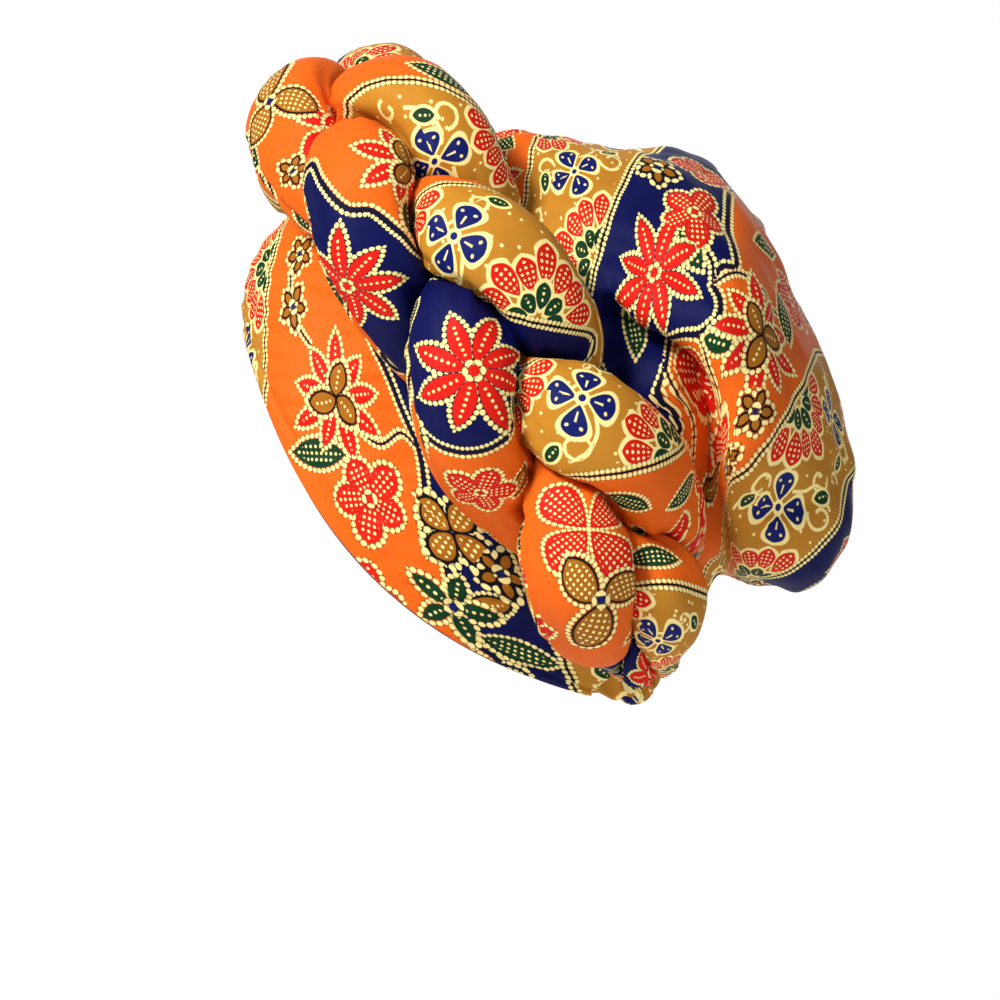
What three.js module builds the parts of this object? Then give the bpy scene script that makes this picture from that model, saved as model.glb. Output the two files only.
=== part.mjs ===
// A padded braid turban: a wide cloth band round the head, a stuffed three-strand braid laid over the
// band's seam from one side of the nape over the front of the crown to the other, a slouched bag that
// hangs behind it, and a gathered casing across the nape.
//
// Millimetres. The origin is the middle of the head opening. -Y is the front, +X the wearer's left and
// +Z up. Shapes are given for the left side, and the right side mirrors them, except for the braid,
// whose pattern runs on from one side to the other.
import * as THREE from "three";

// Cloth
const BAND_WALL = 2.4;
const BAG_WALL = 2.0;
const CASING_WALL = 2.2;

// Head opening: a loop in a plane that tilts down to the back, dipping over each ear
const OPENING_HALF_LENGTH = 111;
const OPENING_HALF_WIDTH = 76;
const OPENING_TILT = THREE.MathUtils.degToRad(43.2);
const EAR_DIP = 34.5;

// Band: how far it stands out between hem and seam, at the front, the sides and the back
const BAND_BULGE = { front: 20, side: 4, back: 4 };
const BAND_ROWS = 5;
const CASING_HALF_ANGLE = 32;
const BAND_END_GAP = 1.5;
const CASING_RUFFLES = 5;
const CASING_RUFFLE_DEPTH = 3;

// Bag: a row for each section, from the mouth under the braid to the back. A section is an oval whose
// top and bottom points lie on the side outline.
const BAG_SECTIONS = [
  { topY: -32, topZ: 139, bottomY: 94, bottomZ: -58, halfWidth: 80 },
  { topY: 0, topZ: 153, bottomY: 99, bottomZ: -45, halfWidth: 83 },
  { topY: 27, topZ: 164, bottomY: 108, bottomZ: -31, halfWidth: 92 },
  { topY: 50, topZ: 163, bottomY: 114, bottomZ: -23, halfWidth: 101 },
  { topY: 76, topZ: 158, bottomY: 120, bottomZ: -21, halfWidth: 106 },
  { topY: 101, topZ: 154, bottomY: 128, bottomZ: -24, halfWidth: 107 },
  { topY: 124, topZ: 140, bottomY: 139, bottomZ: -28, halfWidth: 102 },
  { topY: 141, topZ: 110, bottomY: 150, bottomZ: -30, halfWidth: 91 },
  { topY: 156, topZ: 79, bottomY: 161, bottomZ: -24, halfWidth: 73 },
  { topY: 168, topZ: 51, bottomY: 169, bottomZ: -12, halfWidth: 46 },
];
const BAG_POLE = { y: 173.5, z: 14 };
const BAG_AROUND = 56;
const BAG_STEPS = 24;

// Folds of the bag: valleys that run through these points of the side outline, steep towards the
// back and shallow towards the front, where the slouched part hangs over the part below it
const BAG_FOLDS = [
  {
    depth: 15,
    steepWidth: 9,
    shallowWidth: 26,
    line: [
      { y: 66, z: 92 },
      { y: 102, z: 78 },
      { y: 118, z: 50 },
      { y: 119, z: 18 },
      { y: 123, z: -22 },
    ],
  },
];

// Braid: the arch that its middle follows, an oval in a plane that tilts up to the front
const ARCH_TOP = { y: -37, z: 162 };
const ARCH_SLOPE = THREE.MathUtils.degToRad(57.5);
const ARCH_HALF_LENGTH = 135;
const ARCH_HALF_WIDTH = 103;
const ARCH_FULLNESS = 0.06;
const ARCH_END_ANGLE = 145;
const FRONT_ROLL = 12;
const ARCH_BOW = 6;
const TUCK_ANGLE = 122;
const TUCK = 16;

// Braid: its three strands
const STRAND_NAMES = ["braid_strand_a", "braid_strand_b", "braid_strand_c"];
const STRAND_RADIUS = 24.5;
const STRAND_SWAY = 21;
const STRAND_LIFT = 13;
const LOBE_SPACING = 36;
const FIRST_LOBE_ANGLE = 13;
const LOBE_PHASE = THREE.MathUtils.degToRad(240);
const LOBE_SWELL = 0.09;
const TAPER_ANGLE = 24;
const END_SHARE = 0.35;
const STRAND_GAP = 2;
const STRAND_SIDES = 12;
const STRAND_STEPS = 64;
const WEAR_PASSES = 2;
const CENTRELINE_STEPS = 240;

// Colours
const ORANGE = 0xe8692a;
const OCHRE = 0x9c6420;
const NAVY = 0x1c2460;

const HEAD_CENTRE = new THREE.Vector3(0, 13, 52);
const SIDEWAYS = new THREE.Vector3(1, 0, 0);

function smooth(low, high, value) {
  const share = THREE.MathUtils.clamp((value - low) / (high - low), 0, 1);
  return share * share * (3 - 2 * share);
}

// A smooth curve through one column of a table, at a row number that may be a fraction.
function columnAt(rows, name, place) {
  const row = Math.min(Math.floor(place), rows.length - 2);
  const share = place - row;
  const value = (index) => rows[THREE.MathUtils.clamp(index, 0, rows.length - 1)][name];
  const [before, here, next, after] = [-1, 0, 1, 2].map((step) => value(row + step));
  const slopeHere = (next - before) / 2;
  const slopeNext = (after - here) / 2;
  const square = share * share;
  const cube = square * share;
  return (
    (2 * cube - 3 * square + 1) * here +
    (cube - 2 * square + share) * slopeHere +
    (3 * square - 2 * cube) * next +
    (cube - square) * slopeNext
  );
}

// The hem at an angle round the head, 0 at the front and a quarter turn at the left ear.
function hem(angle) {
  const along = -OPENING_HALF_LENGTH * Math.cos(angle);
  const above = -EAR_DIP * Math.sin(angle) ** 2;
  return new THREE.Vector3(
    OPENING_HALF_WIDTH * Math.sin(angle),
    above * Math.sin(OPENING_TILT) + along * Math.cos(OPENING_TILT),
    above * Math.cos(OPENING_TILT) - along * Math.sin(OPENING_TILT),
  );
}

// How far a side-view point is from a fold's line, and on which side: positive towards the back.
function foldDistance(line, y, z) {
  let nearest = { distance: Infinity, side: 1 };
  for (let i = 0; i + 1 < line.length; i++) {
    const runY = line[i + 1].y - line[i].y;
    const runZ = line[i + 1].z - line[i].z;
    const offY = y - line[i].y;
    const offZ = z - line[i].z;
    const share = (offY * runY + offZ * runZ) / (runY * runY + runZ * runZ);
    const held = THREE.MathUtils.clamp(share, 0, 1);
    const distance = Math.hypot(offY - held * runY, offZ - held * runZ);
    if (distance < nearest.distance) {
      nearest = { distance, side: runY * offZ - runZ * offY > 0 ? 1 : -1 };
    }
  }
  return nearest;
}

// The bag's outer surface: a section number, and an angle round it from its top over the left side.
function bag(place, angle) {
  const last = BAG_SECTIONS.length - 1;
  const closing = Math.max(0, place - last);
  const row = Math.min(place, last);
  const [topY, topZ, bottomY, bottomZ, halfWidth] = [
    "topY",
    "topZ",
    "bottomY",
    "bottomZ",
    "halfWidth",
  ].map((name) => columnAt(BAG_SECTIONS, name, row));
  const share = Math.sqrt(Math.max(0, 1 - closing * closing));
  const height = (share * Math.cos(angle)) / 2;
  const point = new THREE.Vector3(
    share * halfWidth * Math.sin(angle),
    THREE.MathUtils.lerp((topY + bottomY) / 2, BAG_POLE.y, closing) + height * (topY - bottomY),
    THREE.MathUtils.lerp((topZ + bottomZ) / 2, BAG_POLE.z, closing) + height * (topZ - bottomZ),
  );
  for (const fold of BAG_FOLDS) {
    const { distance, side } = foldDistance(fold.line, point.y, point.z);
    const width = side > 0 ? fold.steepWidth : fold.shallowWidth;
    const fromMouth = smooth(0, 1.5, place);
    const depth = fold.depth * fromMouth * Math.exp(-((distance / width) ** 2));
    point.x -= depth * THREE.MathUtils.clamp(point.x / halfWidth, -1, 1);
  }
  return point;
}

// The band's outer surface: 0 at the hem and 1 at the seam under the braid.
function band(height, angle) {
  const point = hem(angle).lerp(bag(0, angle), height);
  const forward = Math.cos(angle);
  const { front, side, back } = BAND_BULGE;
  const bulge = THREE.MathUtils.lerp(side, forward > 0 ? front : back, forward * forward);
  const outward = point.clone().sub(HEAD_CENTRE).normalize();
  return point.addScaledVector(outward, bulge * Math.sin(Math.PI * height) ** 0.8);
}

// The casing is the band's back stretch, drawn up into ruffles by its elastic.
function casing(height, angle) {
  const point = band(height, angle);
  const outward = point.clone().sub(HEAD_CENTRE).setX(0).normalize();
  const fromMiddle = (angle - Math.PI) / THREE.MathUtils.degToRad(CASING_HALF_ANGLE);
  const ruffle = Math.cos(fromMiddle * CASING_RUFFLES * Math.PI);
  return point.addScaledVector(outward, CASING_RUFFLE_DEPTH * (ruffle - 1) * (1 - height / 2));
}

// A closed wall of even thickness under a grid of points on its outer face. rows[j][i] runs round in i
// and along in j. A ring closes on itself in i, and pole ends it in one point.
function wall(rows, thickness, { ring = false, pole = null } = {}) {
  const across = rows[0].length;
  const wrap = (i) => (ring ? (i + across) % across : THREE.MathUtils.clamp(i, 0, across - 1));
  const last = rows.length - 1;
  const inward = rows.map((row, j) =>
    row.map((_, i) => {
      const round = rows[j][wrap(i + 1)].clone().sub(rows[j][wrap(i - 1)]);
      const along = rows[Math.min(j + 1, last)][i].clone().sub(rows[Math.max(j - 1, 0)][i]);
      return along.cross(round).normalize();
    }),
  );
  const points = [
    ...rows.flat(),
    ...rows.flatMap((row, j) =>
      row.map((point, i) => point.clone().addScaledVector(inward[j][i], thickness)),
    ),
  ];
  const inner = rows.length * across;
  const at = (side, j, i) => side * inner + j * across + wrap(i);
  const faces = [];
  const quad = (a, b, c, d) => faces.push(a, c, b, a, d, c);
  const spans = ring ? across : across - 1;
  for (let i = 0; i < spans; i++) {
    for (let j = 0; j < last; j++) {
      quad(at(0, j, i), at(0, j + 1, i), at(0, j + 1, i + 1), at(0, j, i + 1));
      quad(at(1, j, i), at(1, j, i + 1), at(1, j + 1, i + 1), at(1, j + 1, i));
    }
    quad(at(0, 0, i), at(0, 0, i + 1), at(1, 0, i + 1), at(1, 0, i));
    if (!pole) quad(at(0, last, i + 1), at(0, last, i), at(1, last, i), at(1, last, i + 1));
  }
  if (pole) {
    points.push(pole, pole.clone().setY(pole.y - thickness));
    for (let i = 0; i < spans; i++) {
      faces.push(at(0, last, i + 1), points.length - 2, at(0, last, i));
      faces.push(at(1, last, i + 1), at(1, last, i), points.length - 1);
    }
  }
  if (!ring) {
    for (let j = 0; j < last; j++) {
      quad(at(0, j, 0), at(1, j, 0), at(1, j + 1, 0), at(0, j + 1, 0));
      const end = across - 1;
      quad(at(0, j, end), at(0, j + 1, end), at(1, j + 1, end), at(1, j, end));
    }
  }
  return solid(points, faces);
}

function solid(points, faces) {
  const geometry = new THREE.BufferGeometry().setFromPoints(points);
  geometry.setIndex(faces);
  geometry.computeVertexNormals();
  return geometry;
}

// Rows of points over part of a surface, from one angle to another and from one height to another.
function patch(surface, [fromAngle, toAngle], [fromHeight, toHeight], columns, rows, ring = false) {
  const spread = (from, to, count, index) => THREE.MathUtils.lerp(from, to, index / count);
  return Array.from({ length: rows + 1 }, (_, j) =>
    Array.from({ length: ring ? columns : columns + 1 }, (_, i) =>
      surface(
        spread(fromHeight, toHeight, rows, j),
        THREE.MathUtils.degToRad(spread(fromAngle, toAngle, columns, i)),
      ),
    ),
  );
}

// The middle of the braid at an angle along its arch, 0 over the front, with its directions. The arch
// bows a little to the back at the temples, and its ends tuck forward under the nape.
function arch(degrees) {
  const angle = THREE.MathUtils.degToRad(degrees);
  const down = new THREE.Vector3(0, Math.cos(ARCH_SLOPE), -Math.sin(ARCH_SLOPE));
  const [cosine, sine] = [Math.cos(angle), Math.sin(angle)];
  const fuller = 1 + ARCH_FULLNESS * Math.sin(2 * angle) ** 2;
  const middle = new THREE.Vector3(0, ARCH_TOP.y, ARCH_TOP.z)
    .addScaledVector(down, ARCH_HALF_LENGTH * (1 - fuller * cosine))
    .addScaledVector(SIDEWAYS, ARCH_HALF_WIDTH * fuller * sine);
  const outward = down
    .clone()
    .multiplyScalar(-cosine / ARCH_HALF_LENGTH)
    .addScaledVector(SIDEWAYS, sine / ARCH_HALF_WIDTH)
    .normalize();
  const along = SIDEWAYS.clone().cross(down).cross(outward).normalize();
  const roll = THREE.MathUtils.degToRad(-FRONT_ROLL * Math.cos(angle / 2) ** 4);
  outward.applyAxisAngle(along, roll);
  const back = outward.clone().cross(along);
  const bow = ARCH_BOW * Math.max(0, Math.sin(2 * Math.abs(angle)));
  middle.addScaledVector(back, bow - TUCK * smooth(TUCK_ANGLE, ARCH_END_ANGLE, Math.abs(degrees)));
  return { middle, outward, back };
}

// How far through its sway a strand is, with a lobe in full view once towards the band and half a
// turn later once towards the bag.
function strandPhase(strand, degrees) {
  const turn = (degrees - FIRST_LOBE_ANGLE - strand * LOBE_SPACING) / (3 * LOBE_SPACING);
  return LOBE_PHASE + 2 * Math.PI * turn;
}

// A strand's middle at an angle along the arch. It sways from side to side once for each two lifts.
function strandMiddle(strand, degrees) {
  const { middle, outward, back } = arch(degrees);
  const phase = strandPhase(strand, degrees);
  const held = strandShare(degrees);
  return middle
    .addScaledVector(back, STRAND_SWAY * held * Math.sin(phase))
    .addScaledVector(outward, STRAND_LIFT * held * Math.sin(2 * phase));
}

// Full size along the arch, and smaller where the strands are sewn in at the nape.
function strandShare(degrees) {
  const fromEnd = ARCH_END_ANGLE - Math.abs(degrees);
  return THREE.MathUtils.lerp(END_SHARE, 1, smooth(0, TAPER_ANGLE, fromEnd));
}

function strandLine(strand) {
  return Array.from({ length: CENTRELINE_STEPS + 1 }, (_, i) =>
    strandMiddle(strand, THREE.MathUtils.lerp(-ARCH_END_ANGLE, ARCH_END_ANGLE, i / CENTRELINE_STEPS)),
  );
}

// How far a ray from a strand's middle runs before it is as near to the middle of another strand, less
// the gap between them.
function reachToNeighbours(from, direction, lines, radius) {
  let reach = radius;
  const across = new THREE.Vector3();
  for (const point of lines.flat()) {
    across.subVectors(point, from);
    const facing = direction.dot(across) + STRAND_GAP;
    const meeting = (across.lengthSq() - STRAND_GAP ** 2) / (2 * facing);
    if (facing > 0) reach = Math.min(reach, meeting);
  }
  return reach;
}

// Where a ray from a strand's middle has to stop: at its full radius, halfway to another strand, or
// just clear of the cloth that the braid lies on.
function reachAt(middle, direction, near, radius, caster, under) {
  const reach = reachToNeighbours(middle, direction, near, radius);
  caster.set(middle, direction);
  const [hit] = caster.intersectObject(under, false);
  return hit ? Math.min(reach, hit.distance - STRAND_GAP) : reach;
}

// The band and the bag as one skin without a gap or a thickness, which is what the braid lies on.
function skinUnderBraid() {
  const round = [0, 360];
  const rows = [
    ...patch(band, round, [0, 0.95], BAG_AROUND, BAND_ROWS, true),
    ...patch(bag, round, [0, 7], BAG_AROUND, 2 * BAG_STEPS, true),
  ];
  const faces = [];
  for (let j = 0; j + 1 < rows.length; j++) {
    for (let i = 0; i < BAG_AROUND; i++) {
      const next = (i + 1) % BAG_AROUND;
      const [a, b] = [j * BAG_AROUND, (j + 1) * BAG_AROUND];
      faces.push(a + i, b + next, b + i, a + i, a + next, b + next);
    }
  }
  return new THREE.Mesh(solid(rows.flat(), faces), new THREE.MeshBasicMaterial());
}

// The same table of reaches with its peaks worn down to the mean of what is round them.
function worn(table) {
  return table.map((row, j) =>
    row.map((reach, i) => {
      const sides = row.length;
      const rows = [table[Math.max(j - 1, 0)], table[Math.min(j + 1, table.length - 1)]];
      const round = [row[(i + 1) % sides], row[(i + sides - 1) % sides], rows[0][i], rows[1][i]];
      return Math.min(reach, round.reduce((sum, value) => sum + value) / round.length);
    }),
  );
}

// A stuffed tube that swells to its full radius where nothing is in its way, and lies flat against
// the other strands, the band and the bag where they are.
function strandGeometry(strand, lines, under) {
  const others = lines.filter((_, index) => index !== strand);
  const caster = new THREE.Raycaster();
  const steps = Array.from({ length: STRAND_STEPS + 1 }, (_, j) => {
    const degrees = THREE.MathUtils.lerp(-ARCH_END_ANGLE, ARCH_END_ANGLE, j / STRAND_STEPS);
    const middle = strandMiddle(strand, degrees);
    const ahead = strandMiddle(strand, degrees + 1).sub(strandMiddle(strand, degrees - 1)).normalize();
    const back = arch(degrees).outward.cross(ahead).normalize();
    const top = ahead.clone().cross(back);
    const directions = Array.from({ length: STRAND_SIDES }, (_, i) => {
      const angle = (2 * Math.PI * i) / STRAND_SIDES;
      return back.clone().multiplyScalar(Math.cos(angle)).addScaledVector(top, Math.sin(angle));
    });
    const swell = 1 + LOBE_SWELL * Math.cos(2 * (strandPhase(strand, degrees) - LOBE_PHASE));
    return { middle, directions, radius: STRAND_RADIUS * swell * strandShare(degrees) };
  });
  let reaches = steps.map(({ middle, directions, radius }) => {
    const near = others.map((line) =>
      line.filter((point) => point.distanceTo(middle) < 2 * STRAND_RADIUS + STRAND_GAP),
    );
    return directions.map((direction) =>
      reachAt(middle, direction, near, radius, caster, under),
    );
  });
  for (let pass = 0; pass < WEAR_PASSES; pass++) reaches = worn(reaches);

  const points = steps.flatMap(({ middle, directions }, j) =>
    directions.map((direction, i) => middle.clone().addScaledVector(direction, reaches[j][i])),
  );
  const faces = [];
  for (let j = 0; j < STRAND_STEPS; j++) {
    for (let i = 0; i < STRAND_SIDES; i++) {
      const next = (i + 1) % STRAND_SIDES;
      const [a, b] = [j * STRAND_SIDES, (j + 1) * STRAND_SIDES];
      faces.push(a + i, a + next, b + next, a + i, b + next, b + i);
    }
  }
  [0, STRAND_STEPS].forEach((j) => {
    points.push(steps[j].middle);
    for (let i = 0; i < STRAND_SIDES; i++) {
      const [a, b] = [j * STRAND_SIDES + i, j * STRAND_SIDES + ((i + 1) % STRAND_SIDES)];
      faces.push(points.length - 1, j ? a : b, j ? b : a);
    }
  });
  return solid(points, faces);
}

function clothPiece(name, geometry, color) {
  const material = new THREE.MeshStandardMaterial({ color, roughness: 0.75, metalness: 0 });
  const mesh = new THREE.Mesh(geometry, material);
  mesh.name = name;
  return mesh;
}

function headBand() {
  const end = 180 - CASING_HALF_ANGLE - BAND_END_GAP;
  const rows = patch(band, [-end, end], [0, 0.985], 34, BAND_ROWS);
  return clothPiece("head_band", wall(rows, BAND_WALL), ORANGE);
}

function napeCasing() {
  const span = [180 - CASING_HALF_ANGLE, 180 + CASING_HALF_ANGLE];
  const rows = patch(casing, span, [0, 0.95], 6 * CASING_RUFFLES, 3);
  return clothPiece("nape_casing", wall(rows, CASING_WALL), OCHRE);
}

function slouchBag() {
  const lastSection = BAG_SECTIONS.length - 1 + 0.85;
  const rows = patch(bag, [0, 360], [0.02, lastSection], BAG_AROUND, BAG_STEPS, true);
  const pole = new THREE.Vector3(0, BAG_POLE.y, BAG_POLE.z);
  return clothPiece("slouch_bag", wall(rows, BAG_WALL, { ring: true, pole }), NAVY);
}

const turban = new THREE.Group();
const under = skinUnderBraid();
const lines = STRAND_NAMES.map((_, strand) => strandLine(strand));
turban.add(headBand(), napeCasing(), slouchBag());
STRAND_NAMES.forEach((name, strand) => {
  turban.add(clothPiece(name, strandGeometry(strand, lines, under), ORANGE));
});

export default turban;
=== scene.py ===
"""Dresses the padded braid turban in its printed cloth: the band, the ruffled casing at the nape, the
slouched bag and the three stuffed strands of the braid.

Sizes in the shape functions are in millimetres, as the frame's own are, and become metres when a mesh
is made. -Y is the wearer's front, +X the wearer's left and +Z up, with the origin in the middle of the
head opening.
"""

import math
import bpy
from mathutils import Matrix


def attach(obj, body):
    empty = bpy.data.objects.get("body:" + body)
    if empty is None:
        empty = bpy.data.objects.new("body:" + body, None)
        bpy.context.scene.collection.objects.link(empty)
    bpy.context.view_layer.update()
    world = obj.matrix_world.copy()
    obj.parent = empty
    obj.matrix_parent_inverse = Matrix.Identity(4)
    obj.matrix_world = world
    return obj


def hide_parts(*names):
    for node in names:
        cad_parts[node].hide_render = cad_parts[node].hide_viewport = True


bl_info = {
    "name": "Padded braid turban",
    "version": (1, 0, 0),
    "blender": (4, 5, 0),
    "location": "3D View > Sidebar > Turban",
    "description": "Printed cloth, stuffed strands and slouched folds round the turban's frame",
    "category": "Object",
}

from collections import namedtuple

import bpy
import numpy as np
from mathutils import Vector
from mathutils.bvhtree import BVHTree
from mathutils.kdtree import KDTree

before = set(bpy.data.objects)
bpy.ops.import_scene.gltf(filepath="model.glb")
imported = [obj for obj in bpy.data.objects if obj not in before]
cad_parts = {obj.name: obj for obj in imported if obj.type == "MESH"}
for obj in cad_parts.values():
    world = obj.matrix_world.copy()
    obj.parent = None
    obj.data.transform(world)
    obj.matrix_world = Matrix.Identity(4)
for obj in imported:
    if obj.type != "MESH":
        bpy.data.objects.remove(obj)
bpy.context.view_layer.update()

MM = 0.001
TAU = 2 * math.pi

# The head opening and the band, in millimetres
OPENING_HALF_LENGTH = 111
OPENING_HALF_WIDTH = 76
OPENING_TILT = math.radians(43.2)
EAR_DIP = 34.5
BULGE_FRONT = 20
BULGE_BACK = 4
BULGE_POWER = 0.8
CASING_HALF_ANGLE = math.radians(32)
BAND_END_GAP = math.radians(0.5)
BAND_REACH = math.pi - CASING_HALF_ANGLE - BAND_END_GAP
BAND_TOP = 0.991
HOLLOW_CENTRE = np.array([0, 13, 52])

# The bag's sections, from its mouth under the braid to the back
Section = namedtuple("Section", "top_y top_z bottom_y bottom_z half_width")
BAG_SECTIONS = (
    Section(-32, 139, 94, -58, 80),
    Section(0, 153, 99, -45, 83),
    Section(27, 164, 108, -31, 92),
    Section(50, 163, 114, -23, 101),
    Section(76, 158, 120, -21, 106),
    Section(101, 154, 128, -24, 107),
    Section(124, 140, 139, -28, 102),
    Section(141, 110, 150, -30, 91),
    Section(156, 79, 161, -24, 73),
    Section(168, 51, 169, -12, 46),
)
BAG_POLE_Y = 173.5
BAG_POLE_Z = 14

# Folds of the bag, as lines on the side outline: a valley with a steep side to the back, where the
# cloth behind it stands out as a lip and hangs forward over it, and a shallow side to the front
Fold = namedtuple("Fold", "depth steep shallow lip overhang line")
MAIN_FOLD_LINE = ((66, 93), (86, 87), (106, 77), (117, 62), (121, 44), (119, 18), (121, -7), (124, -24))
BAG_FOLDS = (
    Fold(28, 6, 18, 8, 12, MAIN_FOLD_LINE),
    Fold(7, 4, 8, 3, 4, ((103, 70), (111, 52), (112, 30), (109, 8), (106, -6))),
    Fold(7, 6, 10, 3, 2, ((108, 152), (124, 127), (139, 106), (150, 82))),
    Fold(7, 6, 12, 3, 3, ((172, 24), (158, 12), (146, 6), (136, 3))),
    Fold(5, 7, 12, 2, 1, ((64, 120), (84, 108), (106, 98))),
)

# Where a fold sets in and lets go, as shares of its line, and how far it fades at its end
FOLD_SETS_IN = (-0.02, 0.14)
FOLD_LETS_GO = (0.94, 1.05)
FOLD_END_FADE = 0.4
FOLD_END_WIDTH = 12

# Where a fold's lip and overhang lie behind its line, and the lip's width, in widths of the steep side
LIP_PLACE = 2.1
LIP_WIDTH = 1.3
OVERHANG_PLACE = 1.3

# The sections over which the folds and the slack come in from the bag's mouth
MOUTH_FADE = 1.5

# The braid's arch and its strands
ARCH_TOP = np.array([0, -37, 162])
ARCH_SLOPE = math.radians(57.5)
ARCH_HALF_LENGTH = 135
ARCH_HALF_WIDTH = 103
ARCH_FULLNESS = 0.06
ARCH_END_ANGLE = 145
FRONT_ROLL = 12
ARCH_BOW = 6
TUCK_ANGLE = 122
TUCK = 16
STRAND_NAMES = ("braid_strand_a", "braid_strand_b", "braid_strand_c")
STRAND_RADIUS = 24.5
STRAND_SWAY = 21
STRAND_LIFT = 13
LOBE_SPACING = 36
FIRST_LOBE_ANGLE = 13
LOBE_PHASE = math.radians(240)
LOBE_SWELL = 0.09
TAPER_ANGLE = 24
END_SHARE = 0.35
TOP_CLOSER = 0.2
TOP_CLOSER_ANGLE = 20

# How many degrees of phase later the lobes towards the bag come, for each 15 degrees from the top
LATE_STEP = 15
LOBES_LATE = (0, 10, 18, 18, 16, 11, 4, 0, 0, 0, 0)

# Keeps a vector from having no length before it is made a unit one
TINY = 1e-12


def smooth(low, high, value):
    """0 below low and 1 above high, with a soft step between."""
    share = np.clip((value - low) / (high - low), 0, 1)
    return share * share * (3 - 2 * share)


def bump(value, width):
    """A soft rise of that half width round 0."""
    return np.exp(-((value / width) ** 2))


def cubic(before, here, after, beyond, share):
    """A smooth value between here and after, which the two outer values give its slopes."""
    slope_here = (after - before) / 2
    slope_after = (beyond - here) / 2
    square = share * share
    cube = square * share
    return (
        (2 * cube - 3 * square + 1) * here
        + (cube - 2 * square + share) * slope_here
        + (3 * square - 2 * cube) * after
        + (cube - square) * slope_after
    )


def through(values, place):
    """A smooth curve through a list of values, at a place in the list that may be a fraction."""
    values = np.asarray(values, float)
    row = np.clip(np.floor(place).astype(int), 0, len(values) - 2)
    share = place - row
    before, here, after, beyond = (values[np.clip(row + step, 0, len(values) - 1)] for step in (-1, 0, 1, 2))
    return cubic(before, here, after, beyond, share)


def unit(vectors):
    """The vectors at a length of 1."""
    return vectors / np.linalg.norm(vectors, axis=-1, keepdims=True)


def hem(angle):
    """The hem at an angle round the opening, 0 at the front and a quarter turn at the wearer's left."""
    along = -OPENING_HALF_LENGTH * np.cos(angle)
    above = -EAR_DIP * np.sin(angle) ** 2
    return np.stack(
        [
            OPENING_HALF_WIDTH * np.sin(angle),
            above * math.sin(OPENING_TILT) + along * math.cos(OPENING_TILT),
            above * math.cos(OPENING_TILT) - along * math.sin(OPENING_TILT),
        ],
        axis=-1,
    )


def bag_form(place, angle):
    """The bag's outer surface without its folds, by section number and by angle from its top leftward."""
    last = len(BAG_SECTIONS) - 1
    closing = np.maximum(0, place - last)
    row = np.minimum(place, last)
    top_y, top_z, bottom_y, bottom_z, half_width = (
        through([getattr(section, name) for section in BAG_SECTIONS], row) for name in Section._fields
    )
    share = np.sqrt(np.maximum(0, 1 - closing * closing))
    height = share * np.cos(angle) / 2
    middle_y = (top_y + bottom_y) / 2 * (1 - closing) + BAG_POLE_Y * closing
    middle_z = (top_z + bottom_z) / 2 * (1 - closing) + BAG_POLE_Z * closing
    points = np.stack(
        [
            share * half_width * np.sin(angle),
            middle_y + height * (top_y - bottom_y),
            middle_z + height * (top_z - bottom_z),
        ],
        axis=-1,
    )
    return points, half_width


def line_samples(line, count=80):
    """Points along a smooth line through the given ones, with their directions."""
    place = np.linspace(0, len(line) - 1, count)
    points = np.stack([through([row[axis] for row in line], place) for axis in (0, 1)], axis=-1)
    return points, unit(np.gradient(points, axis=0))


def fold_moves(points, fold):
    """How far one fold moves each point: in from the side, and along the side outline."""
    samples, directions = line_samples(fold.line)
    side = points[..., 1:].reshape(-1, 2)
    off = side[:, None, :] - samples[None]
    nearest = np.argmin((off**2).sum(-1), axis=1)
    off = off[np.arange(len(side)), nearest]
    direction = directions[nearest]
    back = np.stack([-direction[:, 1], direction[:, 0]], axis=-1)
    distance = (off * back).sum(-1)
    beyond = (off * direction).sum(-1)
    share = nearest / (len(samples) - 1)
    held = smooth(*FOLD_SETS_IN, share) * (1 - smooth(*FOLD_LETS_GO, share) * FOLD_END_FADE)
    held = held * bump(beyond, FOLD_END_WIDTH)
    valley = np.where(distance > 0, bump(distance, fold.steep), bump(distance, fold.shallow))
    lip = bump(distance - LIP_PLACE * fold.steep, LIP_WIDTH * fold.steep)
    inward = held * (fold.depth * valley - fold.lip * lip)
    forward = held * fold.overhang * bump(distance - OVERHANG_PLACE * fold.steep, fold.steep)
    slide = -back * forward[:, None]
    return inward.reshape(points.shape[:-1]), slide.reshape(points.shape[:-1] + (2,))


def bag(place, angle):
    """The bag's outer surface with its folds, which fade out at the mouth."""
    points, half_width = bag_form(place, angle)
    from_mouth = smooth(0, MOUTH_FADE, place)
    facing = np.clip(points[..., 0] / half_width, -1, 1)
    moved = points.copy()
    for fold in BAG_FOLDS:
        inward, slide = fold_moves(points, fold)
        moved[..., 0] -= inward * from_mouth * facing
        moved[..., 1:] += slide * (from_mouth * np.abs(facing))[..., None]
    return moved


def band(height, angle):
    """The band's outer surface: 0 at the hem and 1 at the seam under the braid."""
    seam, _ = bag_form(np.zeros_like(angle), angle)
    points = hem(angle) * (1 - height[..., None]) + seam * height[..., None]
    forward = np.cos(angle)
    bulge = BULGE_BACK + (np.where(forward > 0, BULGE_FRONT, BULGE_BACK) - BULGE_BACK) * forward**2
    outward = unit(points - HOLLOW_CENTRE)
    lift = bulge * np.maximum(np.sin(math.pi * height), 0) ** BULGE_POWER
    return points + outward * lift[..., None]


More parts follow.
